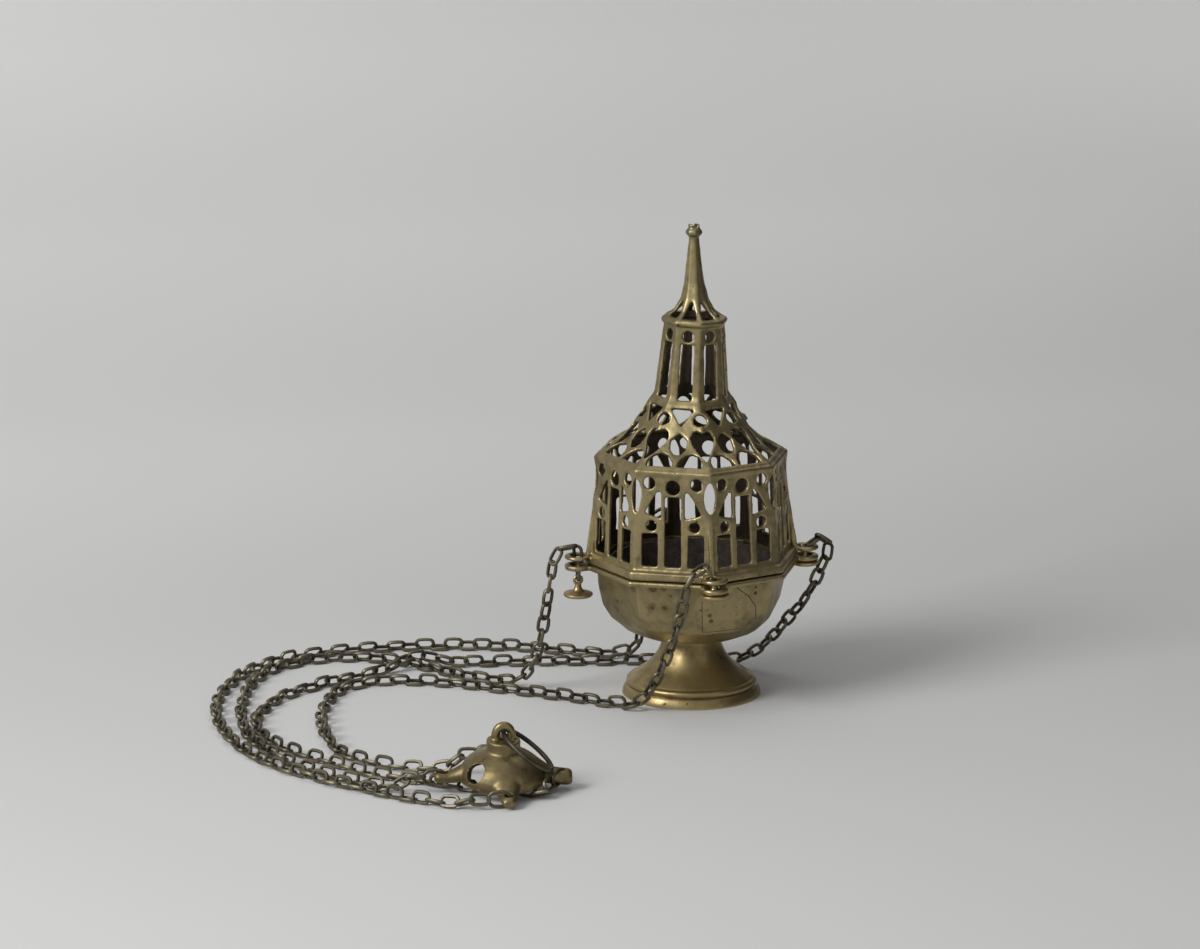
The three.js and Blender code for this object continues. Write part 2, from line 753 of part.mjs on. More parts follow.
// Bent-wire link: two straight sides and two half circles
class LinkCurve extends THREE.Curve {
  constructor(length, width) {
    super();
    this.bend = (width - linkWire) / 2;
    this.straight = length - width;
  }

  getPoint(t) {
    const arc = Math.PI * this.bend;
    const whole = 2 * (arc + this.straight);
    const along = (t % 1) * whole;
    const half = this.straight / 2;
    if (along < this.straight) return new THREE.Vector3(this.bend, 0, along - half);
    if (along < this.straight + arc) {
      const a = (along - this.straight) / this.bend;
      return new THREE.Vector3(this.bend * Math.cos(a), 0, half + this.bend * Math.sin(a));
    }
    if (along < 2 * this.straight + arc) return new THREE.Vector3(-this.bend, 0, half - (along - this.straight - arc));
    const a = Math.PI + (along - 2 * this.straight - arc) / this.bend;
    return new THREE.Vector3(this.bend * Math.cos(a), 0, -half + this.bend * Math.sin(a));
  }
}

// A link standing upright in the plane of the radius, its middle at the origin
function makeLink(length, width) {
  return new THREE.TubeGeometry(new LinkCurve(length, width), 16, linkWire / 2, 6, true);
}

// Button: a disc, a short stem and an eye whose hole runs along Y, its disc's top face at height 0
function makeButton() {
  const stemTop = buttonStemHeight - buttonEyeHole - 0.3;
  const profile = [
    [0, -buttonThickness - 0.4],
    [buttonRadius * 0.7, -buttonThickness],
    [buttonRadius - 0.2, -buttonThickness * 0.8],
    [buttonRadius, -buttonThickness * 0.45],
    [buttonRadius - 0.5, 0],
    [buttonStemRadius * 2.5, 0],
    [buttonStemRadius * 1.5, 1.2],
    [buttonStemRadius, 3],
    [buttonStemRadius, stemTop],
    [0, stemTop],
  ];
  const eye = new THREE.CylinderGeometry(buttonEyeRadius, buttonEyeRadius, linkWire * 1.2, 10);
  const hole = new THREE.CylinderGeometry(buttonEyeHole, buttonEyeHole, linkWire * 2, 8);
  return solidOf(turned(profile, 14))
    .add(solidOf(eye.translate(0, 0, buttonStemHeight)))
    .subtract(solidOf(hole.translate(0, 0, buttonStemHeight)));
}

// Hand plate: a hollow dome with four arms, a collar and a loop, standing on its rim at height 0
const armDroop = 0.8;
const armMiddle = armTipThickness / 2 - armDroop;
const loopHoleHeight = domeHeight + collarHeight + loopHoleRadius + 0.6;

function makeArm() {
  const armTop = armTipThickness - armDroop;
  const side = new THREE.Shape(
    [
      [domeRadius * 0.55, domeHeight * 0.2],
      [domeRadius * 0.95, domeHeight * 0.05],
      [domeRadius + 2, -armDroop],
      [armReach - 0.8, -armDroop],
      [armReach, -armDroop + 0.8],
      [armReach, armTop - 0.9],
      [armReach - 0.9, armTop],
      [domeRadius + 2.6, armTop + 0.1],
      [domeRadius * 1.02, armTop + 1.2],
      [domeRadius * 0.93, domeHeight * 0.46],
      [domeRadius * 0.78, domeHeight * 0.66],
      [domeRadius * 0.55, domeHeight * 0.84],
    ].map(([x, z]) => new THREE.Vector2(x, z)),
  );
  const half = armTipWidth / 2;
  const edge = [
    [0, armRootWidth / 2],
    [domeRadius - 2, armRootWidth / 2],
    [domeRadius + 0.6, armRootWidth / 2 - 1.7],
    [domeRadius + 3.4, half + 0.2],
    [armReach - half, half],
    [armReach - half * 0.45, half * 0.84],
    [armReach - half * 0.1, half * 0.4],
  ];
  const plan = new THREE.Shape(
    [...edge.map(([x, y]) => [x, -y]), ...edge.reverse()].map(([x, y]) => new THREE.Vector2(x, y)),
  );
  const slab = new THREE.ExtrudeGeometry(side, { depth: armRootWidth, bevelEnabled: false });
  slab.rotateX(Math.PI / 2).translate(0, armRootWidth / 2, 0);
  const column = new THREE.ExtrudeGeometry(plan, { depth: domeHeight * 2, bevelEnabled: false });
  column.translate(0, 0, -domeHeight / 2);
  const drill = new THREE.CylinderGeometry(armHoleRadius, armHoleRadius, domeHeight, 12);
  drill.rotateX(Math.PI / 2).translate(armHoleReach, 0, 0);
  return solidOf(slab).intersect(solidOf(column)).subtract(solidOf(drill));
}

function makeLoop() {
  const bottom = domeHeight + collarHeight - 1;
  const half = loopWidth / 2;
  const arch = new THREE.Shape();
  arch.moveTo(-half, bottom);
  arch.lineTo(half, bottom);
  arch.lineTo(half, bottom + 1.6);
  arch.quadraticCurveTo(half * 0.85, bottom + 1 + loopHeight, 0, bottom + 1 + loopHeight);
  arch.quadraticCurveTo(-half * 0.85, bottom + 1 + loopHeight, -half, bottom + 1.6);
  const plate = new THREE.ExtrudeGeometry(arch, { depth: loopThickness, bevelEnabled: false, curveSegments: 6 });
  plate.rotateX(Math.PI / 2).translate(0, loopThickness / 2, 0);
  const drill = new THREE.CylinderGeometry(loopHoleRadius, loopHoleRadius, loopThickness * 3, 14);
  return solidOf(plate).subtract(solidOf(drill.translate(0, 0, loopHoleHeight)));
}

function makeHandPlate() {
  const outside = [
    [1, 0], [1, 0.17], [0.97, 0.34], [0.92, 0.455], [0.835, 0.61], [0.73, 0.745], [0.63, 0.84], [0.52, 0.92],
  ].map(([r, z]) => [r * domeRadius, z * domeHeight]);
  outside.push([collarRadius, domeHeight]);
  const lining = insideOf(outside, domeWall).reverse();
  lining[0] = [domeRadius - domeWall, 0];
  lining[lining.length - 1] = [collarRadius * 0.7, domeHeight - domeWall];
  const collar = [
    [collarRadius - 0.4, domeHeight + collarHeight * 0.5],
    [collarRadius - 0.2, domeHeight + collarHeight * 0.62],
    [collarRadius - 0.8, domeHeight + collarHeight],
    [0, domeHeight + collarHeight],
  ];
  const hollow = [[0, -domeHeight], [domeRadius - domeWall, -domeHeight], ...lining, [0, domeHeight - domeWall]];
  const dome = solidOf(turned([[0, 0], ...outside, ...collar], 28));
  const cavity = solidOf(turned(hollow, 28));
  const arms = [];
  for (let i = 0; i < lugCount; i += 1) {
    arms.push(solidOf(geometryOf(makeArm()).rotateZ((i * 2 * Math.PI) / lugCount)));
  }
  const windows = [1, 5].map((corner) => {
    const drill = new THREE.CylinderGeometry(windowRadius, windowRadius, domeWall * 6, 12);
    drill.rotateZ(Math.PI / 2).rotateY(-windowLean * radians);
    drill.translate(domeRadius * 0.9, 0, domeHeight * 0.52);
    return solidOf(drill.rotateZ(corner * eighth));
  });
  return joined([dome, ...arms]).subtract(joined([cavity, ...windows])).add(makeLoop());
}

function makeRing() {
  const ring = new THREE.TorusGeometry(ringRadius, ringWire / 2, 8, 28);
  ring.translate(ringRadius, 0, 0).rotateY(ringLean * radians);
  return ring.translate(0, 0, loopHoleHeight);
}

// The end link of a chain in an arm's hole, lying away from it at one azimuth of the plate's own frame
function makeArmLink({ arm, away }) {
  const link = new THREE.TubeGeometry(new LinkCurve(armLinkLength, armLinkWidth), 16, linkWire / 2, 6, true);
  link.rotateY(Math.PI / 2).translate((armLinkLength - linkWire) / 2 - 0.6, 0, 0).rotateZ(away);
  return link.translate(armHoleReach * Math.cos(arm), armHoleReach * Math.sin(arm), armMiddle);
}

const armLinks = {
  front: { arm: -Math.PI / 2, away: Math.PI },
  right: { arm: 0, away: Math.PI * 1.33 },
  back: { arm: Math.PI / 2, away: Math.PI },
  left: { arm: Math.PI, away: Math.PI },
};

// The arm that each lug's chain runs to
const armOfLug = { front: "back", right: "right", back: "front", left: "left" };

// Where a chain meets its end link: a last point just off the link, and one before it in line
function chainEnd({ arm, away }) {
  const reach = armLinkLength - linkWire / 2 - 0.6 + gap;
  return [reach + chainTube * 1.2, reach].map((distance) =>
    new THREE.Vector3(
      armHoleReach * Math.cos(arm) + distance * Math.cos(away),
      armHoleReach * Math.sin(arm) + distance * Math.sin(away),
      armMiddle,
    ).applyMatrix4(hand.matrix),
  );
}

// Chain routes, from the link at the lug, over the lid's lug, down to the ground and round to the hand plate.
// fromLug is measured from the middle of the lug's hole, and the other points from the axis of the thurible.
// floorAt and turnAt number the points where the fall ends and where the far bend starts.
const low = chainTube / 2 + 0.5;
const chainRoutes = {
  front: {
    floorAt: 9,
    turnAt: 15,
    fromLug: [[-3.7, -0.1, 79.8], [-6, -0.3, 78.9], [-9.8, -0.9, 75.6], [-13, -1.1, 70.4], [-15.4, 0.3, 61.5]],
    points: [
      [-18.2, -53.5, 47], [-22.2, -46, 30], [-27.2, -38.6, 15], [-33.5, -32, 5.5], [-43, -24, low],
      [-68, -5, low], [-94, 13, low], [-124, 31, low], [-150, 38, low], [-172, 31, low], [-186, 4, low],
      [-193, -40, low], [-190, -84, low], [-176, -105, low], [-159, -117, low], [-144, -124, 4.5],
    ],
  },
  right: {
    floorAt: 10,
    turnAt: 24,
    fromLug: [[1.1, 0, 80.2], [5, 0.1, 79.8], [9.2, 0.4, 77], [11.4, 1, 71], [9.2, 2.2, 62]],
    points: [
      [63.6, 5.7, 51], [58.6, 11.5, 40], [52.2, 19, 29], [44.8, 28.5, 16.5], [35, 37.5, 6.5],
      [24, 45.5, low], [10, 51.5, low], [-10, 54, low], [-30, 56, low], [-50, 59, low], [-72, 62, low],
      [-98, 64.5, low], [-112, 66, 2.8], [-121, 67, 5], [-131.5, 66.5, 6.8], [-142, 61.5, 5],
      [-152, 56, 2.8], [-166, 48.5, low], [-186, 37, low], [-205, 21, low], [-218.5, -1, low],
      [-225, -25, low], [-224, -50, low], [-215, -75, low], [-197.5, -99.5, low], [-179, -123, low],
      [-165, -134.5, low], [-155, -141, low], [-146, -147, low], [-138, -152.5, low], [-130, -157.5, low],
      [-121, -161, low], [-113.5, -165, 2.1], [-108.5, -168.6, 2], [-105, -171, 2.2],
    ],
  },
  back: {
    floorAt: 8,
    turnAt: 14,
    fromLug: [[-3.7, 0.1, 79.8], [-6, 0.3, 78.9], [-9.8, 1.3, 75.6], [-12.4, 2.2, 70.4], [-13.8, 2.7, 60]],
    points: [
      [-14.4, 60.5, 40], [-14.9, 61, 20], [-17.4, 63, 8], [-27, 68, low], [-46, 77, low], [-72, 90, low],
      [-104, 98.5, low], [-137, 102, low], [-171, 99, low], [-198, 88, low], [-220, 66, low],
      [-236, 30, low], [-243, -12, low], [-240, -54, low], [-228, -92, low], [-208, -124, low],
      [-183, -150, low], [-162, -169, low], [-148, -179, low],
    ],
  },
  left: {
    floorAt: 11,
    turnAt: 18,
    fromLug: [[0, 0, 71.5], [-0.2, 0, 75.2], [-2, 0, 77.6], [-5.6, 0, 78.2], [-9.3, 0.3, 76.2]],
    points: [
      [-70.2, 0.8, 72], [-72, 2, 62], [-74, 4.5, 45], [-76.5, 8, 28], [-80, 13.5, 13.5], [-86, 21, 5],
      [-95, 28, low], [-107, 37, low], [-118, 50, low], [-129, 64, low], [-141, 76, low], [-157, 84, low],
      [-180, 85, low], [-203, 73, low], [-219, 46, low], [-228, 10, low], [-231.5, -28, low],
      [-228, -64, low], [-214, -100, low], [-195, -127, low], [-180, -143, low], [-172, -149.5, 4],
    ],
  },
};

// One stretch of a curve, between two shares of its length
class Stretch extends THREE.Curve {
  constructor(whole, from, to) {
    super();
    this.whole = whole;
    this.from = from;
    this.to = to;
  }

  getPoint(t) {
    return this.whole.getPointAt(Math.min(this.from + (this.to - this.from) * t, 1));
  }
}

function chainStretches(route, lug, end) {
  const start = route.fromLug.map((p) => new THREE.Vector3(...p).add(lug));
  const points = [...start, ...route.points.map((p) => new THREE.Vector3(...p)), ...end];
  const curve = new THREE.CatmullRomCurve3(points);
  curve.arcLengthDivisions = 40 * (points.length - 1);
  const lengths = curve.getLengths();
  const whole = lengths[lengths.length - 1];
  const marks = [0, lengths[40 * route.floorAt], lengths[40 * route.turnAt], whole];
  return ["drop", "run", "return"].map((name, i) => {
    const last = i === 2 ? 0 : gap;
    const length = marks[i + 1] - marks[i] - last;
    const steps = Math.max(4, Math.round(length / (i === 0 ? dropStep : floorStep)));
    const stretch = new Stretch(curve, marks[i] / whole, (marks[i + 1] - last) / whole);
    const section = new THREE.Shape(circle(0, 0, chainTube / 2).map(([x, y]) => new THREE.Vector2(x, y)));
    return { name, length, geometry: new THREE.ExtrudeGeometry(section, { steps, extrudePath: stretch }) };
  });
}

// Finishes
const castBrass = { color: 0x7d704b, roughness: 0.42, metalness: 1 };
const warmBrass = { color: 0x8a7749, roughness: 0.38, metalness: 1 };
const chainBrass = { color: 0x4b463a, roughness: 0.5, metalness: 1 };
const darkIron = { color: 0x2d2927, roughness: 0.8, metalness: 0.6 };

function named(name, shape, finish) {
  const geometry = shape.isBufferGeometry ? shape : geometryOf(shape);
  const mesh = new THREE.Mesh(geometry, new THREE.MeshStandardMaterial(finish));
  mesh.name = name;
  return mesh;
}

// The hand plate lies tilted on the chains
const hand = new THREE.Group();
hand.position.set(plateX, plateY, plateLift);
hand.rotation.set(platePitch * radians, plateRoll * radians, plateTurn * radians, "ZXY");
hand.updateMatrix();
hand.add(named("hand_plate", makeHandPlate(), castBrass), named("carrying_ring", makeRing(), chainBrass));

const thurible = new THREE.Group();
thurible.add(
  named("foot", makeFoot(), warmBrass),
  named("foot_rivet", makeRivet(), warmBrass),
  named("bowl", makeBowl(), castBrass),
  named("coal_pan", makeCoalPan(), darkIron),
  named("lid_drum", leaned(makeDrum()), castBrass),
  named("lid_roof", leaned(makeRoof()), castBrass),
  named("lid_lantern", leaned(makeLantern()), castBrass),
  named("lid_ring_mould", leaned(makeRingMould()), castBrass),
  named("lid_spire", leaned(makeSpire()), castBrass),
  hand,
);

// One button, one chain and two end links for each of the four lugs
const lugNames = ["front", "right", "back", "left"];
const buttonTop = bowlLugBottom - gap;
const endLinkTurn = { front: 0, right: Math.PI / 2, back: 0, left: Math.PI / 2 };
const chains = new THREE.Group();
lugNames.forEach((side, i) => {
  const azimuth = (i - 1) * (Math.PI / 2);
  const height = buttonTop - (side === "left" ? leftButtonDrop : 0);
  const button = named(`button_${side}`, makeButton(), warmBrass);
  button.position.set(lugReach * Math.cos(azimuth), lugReach * Math.sin(azimuth), height);
  button.rotation.z = endLinkTurn[side] - Math.PI / 2;
  const link = named(`end_link_${side}`, makeLink(linkLength, linkWidth), chainBrass);
  const linkSeat = (linkLength - linkWire) / 2 - 0.15;
  link.rotation.z = endLinkTurn[side];
  link.position.copy(button.position);
  link.position.z += buttonStemHeight + linkSeat;
  thurible.add(button);
  chains.add(link);
  hand.add(named(`arm_link_${side}`, makeArmLink(armLinks[side]), chainBrass));
  const lug = new THREE.Vector3(button.position.x, button.position.y, 0);
  for (const { name, geometry } of chainStretches(chainRoutes[side], lug, chainEnd(armLinks[armOfLug[side]]))) {
    chains.add(named(`chain_${side}_${name}`, geometry, chainBrass));
  }
});

// The origin goes to the ground below the middle of everything but the chains
const solidBox = new THREE.Box3();
thurible.updateMatrixWorld(true);
thurible.traverse((mesh) => {
  if (mesh.isMesh && !mesh.name.startsWith("arm_link")) solidBox.expandByObject(mesh, true);
});
const middle = solidBox.getCenter(new THREE.Vector3());
thurible.add(chains);
thurible.position.set(-middle.x, -middle.y, -solidBox.min.z);

export default thurible;
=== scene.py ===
import math
import random

import bpy
from mathutils import Matrix, Vector


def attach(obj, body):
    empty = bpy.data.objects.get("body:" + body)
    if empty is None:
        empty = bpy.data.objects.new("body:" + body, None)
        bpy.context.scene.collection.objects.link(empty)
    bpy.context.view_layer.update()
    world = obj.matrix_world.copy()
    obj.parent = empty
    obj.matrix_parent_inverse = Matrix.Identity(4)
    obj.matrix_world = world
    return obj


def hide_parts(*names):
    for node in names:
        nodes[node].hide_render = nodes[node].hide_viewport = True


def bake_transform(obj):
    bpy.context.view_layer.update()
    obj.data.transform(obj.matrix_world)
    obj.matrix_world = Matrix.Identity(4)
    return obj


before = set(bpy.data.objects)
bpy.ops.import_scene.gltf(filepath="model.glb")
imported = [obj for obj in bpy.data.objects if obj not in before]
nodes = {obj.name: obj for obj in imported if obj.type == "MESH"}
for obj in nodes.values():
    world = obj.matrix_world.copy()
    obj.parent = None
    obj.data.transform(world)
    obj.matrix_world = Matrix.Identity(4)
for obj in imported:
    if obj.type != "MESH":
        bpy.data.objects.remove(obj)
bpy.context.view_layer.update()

dice = random.Random(7)

# the thurible's own axis on the ground, in metres in the shared frame
axisX, axisY = 0.043793, 0.060724


def mm(x, y, z):
    # millimetres from the thurible's axis to metres in the shared frame
    return Vector((axisX + x / 1000, axisY + y / 1000, z / 1000))


viewpoint = {
    "azimuth": -11.0,      # degrees round from the front
    "distance": 2600.0,    # mm along the ground from the thurible's axis
    "height": 740.0,
    "pitch": 13.555,
    "yaw": 1.0218,
    "lens": 159.54,
    "sensor": 36.0,
    "farthest": 50.0,      # metres that the camera sees
}


def setCamera(v):
    a = math.radians(v["azimuth"])
    spot = mm(math.sin(a) * v["distance"], -math.cos(a) * v["distance"], v["height"])
    heading, pitch = math.radians(v["azimuth"] + v["yaw"]), math.radians(v["pitch"])
    ahead = Vector((
        -math.sin(heading) * math.cos(pitch),
        math.cos(heading) * math.cos(pitch),
        -math.sin(pitch)))
    data = bpy.data.cameras.new("camera")
    data.sensor_fit, data.sensor_width, data.lens = "HORIZONTAL", v["sensor"], v["lens"]
    data.clip_end = v["farthest"]
    camera = bpy.data.objects.new("camera", data)
    camera.matrix_world = Matrix.Translation(spot) @ ahead.to_track_quat("-Z", "Y").to_matrix().to_4x4()
    bpy.context.collection.objects.link(camera)
    bpy.context.scene.camera = camera


setCamera(viewpoint)
bpy.context.scene.view_settings.view_transform = "Standard"


def deselectAll():
    if bpy.context.object and bpy.context.object.mode != "OBJECT":
        bpy.ops.object.mode_set(mode="OBJECT")
    bpy.ops.object.select_all(action="DESELECT")


def takeUp(piece):
    deselectAll()
    piece.select_set(True)
    bpy.context.view_layer.objects.active = piece


def openMesh(piece, action="SELECT"):
    # into edit mode, with everything selected or nothing
    takeUp(piece)
    bpy.ops.object.mode_set(mode="EDIT")
    bpy.ops.mesh.select_all(action=action)


def closeMesh():
    bpy.ops.object.mode_set(mode="OBJECT")


def selectWhere(mesh, test):
    # the points that pass a test, with the edges and faces between them
    for vertex in mesh.vertices:
        vertex.select = test(vertex.co)
    for part in (*mesh.edges, *mesh.polygons):
        part.select = all(mesh.vertices[i].select for i in part.vertices)


def applyAll(piece):
    takeUp(piece)
    for modifier in list(piece.modifiers):
        bpy.ops.object.modifier_apply(modifier=modifier.name)


def settle(piece):
    # the piece's place goes into its mesh
    takeUp(piece)
    bpy.ops.object.transform_apply(location=True, rotation=True, scale=True)


def smoothed(piece, angle=40):
    takeUp(piece)
    bpy.ops.object.shade_smooth_by_angle(angle=math.radians(angle))


weldGap = {"turned": 0.00001, "cad": 0.000004}     # metres: points closer than this become one


def copyOfNode(node, name):
    # a merged copy of a CAD node's mesh, to work on
    piece = nodes[node].copy()
    piece.data = nodes[node].data.copy()
    piece.name = piece.data.name = name
    piece.animation_data_clear()
    for key in list(piece.keys()):
        del piece[key]
    bpy.context.collection.objects.link(piece)
    piece.parent = None
    piece.hide_render = piece.hide_viewport = False
    piece.matrix_world = Matrix.Identity(4)
    piece.data.materials.clear()
    openMesh(piece)
    bpy.ops.mesh.remove_doubles(threshold=weldGap["cad"])
    closeMesh()
    return piece


def castSkin(piece, voxel, rounds, unevenness, grain):
    # rounds off the edges as casting and wear do, and makes the surface a little uneven
    remesh = piece.modifiers.new("skin", "REMESH")
    remesh.mode, remesh.voxel_size, remesh.use_smooth_shade = "VOXEL", voxel / 1000, True
    soften = piece.modifiers.new("wear", "SMOOTH")
    soften.factor, soften.iterations = 0.5, rounds
    if unevenness:
        lumps = bpy.data.textures.new(piece.name + "Lumps", "CLOUDS")
        lumps.noise_scale, lumps.noise_depth = grain / 1000, 2
        push = piece.modifiers.new("lumps", "DISPLACE")
        push.texture, push.texture_coords = lumps, "GLOBAL"
        push.strength, push.mid_level = unevenness / 1000, 0.5
    applyAll(piece)


def turnedPiece(name, profile, around, centre):
    # a ring drawn out along a profile of [radius, height] in mm, as on a lathe
    first = profile[0]
    deselectAll()
    bpy.ops.mesh.primitive_circle_add(
        vertices=around, radius=first[0] / 1000, fill_type="NOTHING",
        location=centre + Vector((0, 0, first[1] / 1000)))
    piece = bpy.context.object
    piece.name = piece.data.name = name
    bpy.ops.object.transform_apply(location=True)
    openMesh(piece)
    for before, after in zip(profile, profile[1:]):
        rise = (0, 0, (after[1] - before[1]) / 1000)
        bpy.ops.mesh.extrude_edges_move(TRANSFORM_OT_translate={"value": rise})
        share = after[0] / before[0]
        bpy.ops.transform.resize(value=(share, share, 1), center_override=centre)
    closeMesh()
    return piece


def closeEnds(piece):
    # fills both ends of an open profile
    openMesh(piece, "DESELECT")
    bpy.ops.mesh.select_mode(type="EDGE")
    bpy.ops.mesh.select_non_manifold()
    bpy.ops.mesh.fill_holes(sides=0)
    bpy.ops.mesh.select_all(action="SELECT")
    bpy.ops.mesh.normals_make_consistent(inside=False)
    bpy.ops.mesh.select_mode(type="VERT")
    closeMesh()


def turnedShell(name, outline, around, centre):
    # a turned piece whose profile runs round to its own start
    piece = turnedPiece(name, outline + [outline[0]], around, centre)
    openMesh(piece)
    bpy.ops.mesh.remove_doubles(threshold=weldGap["turned"])
    bpy.ops.mesh.normals_make_consistent(inside=False)
    closeMesh()
    return piece


def joined(name, parts):
    deselectAll()
    for part in parts:
        part.select_set(True)
    bpy.context.view_layer.objects.active = parts[0]
    bpy.ops.object.join()
    parts[0].name = parts[0].data.name = name
    return parts[0]


def dress(piece, material, body, slotName, *replaced):
    piece.data.materials.clear()
    piece.data.materials.append(material)
    if body:
        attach(piece, body)
    if replaced:
        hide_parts(*replaced)
    return piece


class Wire:
    # a shader socket that can be added, multiplied and so on
    def __init__(self, paint, socket):
        self.paint, self.socket = paint, socket

    def math(self, operation, a, b=0.0, clamp=False):
        return self.paint.node("ShaderNodeMath", {"operation": operation, "use_clamp": clamp}, {0: a, 1: b})

    def __add__(self, other): return self.math("ADD", self, other)
    def __radd__(self, other): return self.math("ADD", other, self)
    def __sub__(self, other): return self.math("SUBTRACT", self, other)
    def __rsub__(self, other): return self.math("SUBTRACT", other, self)
    def __mul__(self, other): return self.math("MULTIPLY", self, other)
    def __rmul__(self, other): return self.math("MULTIPLY", other, self)
    def __truediv__(self, other): return self.math("DIVIDE", self, other)
    def __gt__(self, other): return self.math("GREATER_THAN", self, other)
    def power(self, other): return self.math("POWER", self, other)
    def clamped(self): return self.math("ADD", self, 0.0, clamp=True)

    def ramp(self, low, high):
        # 0 at low, 1 at high, eased between
        return self.paint.node(
            "ShaderNodeMapRange", {"interpolation_type": "SMOOTHSTEP"},
            {"Value": self, "From Min": low, "From Max": high})


class Paint:
    def __init__(self, name):
        self.material = bpy.data.materials.new(name)
        self.material.use_nodes = True
        self.tree = self.material.node_tree
        self.shader = self.tree.nodes["Principled BSDF"]
        self.place = self.node("ShaderNodeTexCoord", {}, {}, "Object")

    def node(self, kind, settings, inputs, output=0):
        made = self.tree.nodes.new(kind)
        for key, value in settings.items():
            setattr(made, key, value)
        for key, value in inputs.items():
            if isinstance(value, Wire):
                self.tree.links.new(value.socket, made.inputs[key])
            else:
                made.inputs[key].default_value = value
        return Wire(self, made.outputs[output])

    def noise(self, scale, detail=4.0, roughness=0.55, distortion=0.0):
        inputs = {"Scale": scale, "Detail": detail, "Roughness": roughness, "Distortion": distortion}
        return self.node("ShaderNodeTexNoise", {}, {"Vector": self.place, **inputs}, "Fac")

    def mix(self, factor, a, b):
        a, b = ((*colour, 1) if isinstance(colour, tuple) else colour for colour in (a, b))
        return self.node("ShaderNodeMix", {"data_type": "RGBA"}, {0: factor, 6: a, 7: b}, 2)

    def axis(self, name):
        return self.node("ShaderNodeSeparateXYZ", {}, {0: self.place}, name)

    def pointiness(self):
        return self.node("ShaderNodeNewGeometry", {}, {}, "Pointiness")

    def bump(self, height, strength, distance, under=None):
        inputs = {"Height": height, "Strength": strength, "Distance": distance / 1000}
        if under is not None:
            inputs["Normal"] = under
        return self.node("ShaderNodeBump", {}, inputs)

    def set(self, **values):
        for key, value in values.items():
            socket = self.shader.inputs[key.replace("_", " ")]
            if isinstance(value, Wire):
                self.tree.links.new(value.socket, socket)
            else:
                socket.default_value = value if not isinstance(value, tuple) else (*value, 1)
        return self.material


brassTones = {
    "rubbed": (0.52, 0.43, 0.24),
    "clean": (0.36, 0.29, 0.150),
    "olive": (0.195, 0.163, 0.086),
    "brown": (0.075, 0.056, 0.035),
    "soot": (0.022, 0.018, 0.014),
    "inwardDark": (0.060, 0.044, 0.036),
    "rust": (0.085, 0.048, 0.027),
    "green": (0.12, 0.19, 0.11),
    "warm": (0.46, 0.31, 0.12),
    "black": (0.0, 0.0, 0.0),
}


def darkenInward(p, colour, amount):
    # faces that look towards the thurible's axis are painted darker
    dx, dy = p.axis("X") - axisX, p.axis("Y") - axisY
    facing = p.node("ShaderNodeNewGeometry", {}, {}, "Normal")
    outward = p.node("ShaderNodeSeparateXYZ", {}, {0: facing}, "X") * dx
    outward = outward + p.node("ShaderNodeSeparateXYZ", {}, {0: facing}, "Y") * dy
    inward = (outward / (dx * dx + dy * dy).power(0.5) * -1).ramp(0.15, 0.55)
    return p.mix(inward * amount, colour, brassTones["inwardDark"])


def stainsAndCracks(p, colour, marks, mottle, grain):
    # marks on one side of the bowl, in mm: across to the right of its axis, and up
    turn = math.radians(marks["facing"])
    fromX, fromY = (p.axis("X") - axisX) * 1000, (p.axis("Y") - axisY) * 1000
    across, up = fromX * math.cos(turn) + fromY * math.sin(turn), p.axis("Z") * 1000
    front = (fromY * math.cos(turn) - fromX * math.sin(turn)) * -1 > marks["frontFrom"]
    for side, height, reach, depth in marks["stains"]:
        dx, dz = across - side, up - height
        away = (dx * dx + dz * dz).power(0.5) + (mottle - 0.5) * reach * 4
        stained = (1 - away.ramp(reach * 0.35, reach)) * front * depth
        colour = p.mix(stained, colour, brassTones["rust"])
    for (side, height), (toSide, toHeight), width in marks["cracks"]:
        runX, runZ = toSide - side, toHeight - height
        share = (((across - side) * runX + (up - height) * runZ) / (runX * runX + runZ * runZ)).clamped()
        dx, dz = across - side - share * runX, up - height - share * runZ
        away = (dx * dx + dz * dz).power(0.5) + (grain - 0.5) * width
        cracked = (1 - away.ramp(width * 0.4, width)) * front * marks["crackDepth"]
        colour = p.mix(cracked, colour, brassTones["soot"])
    return colour


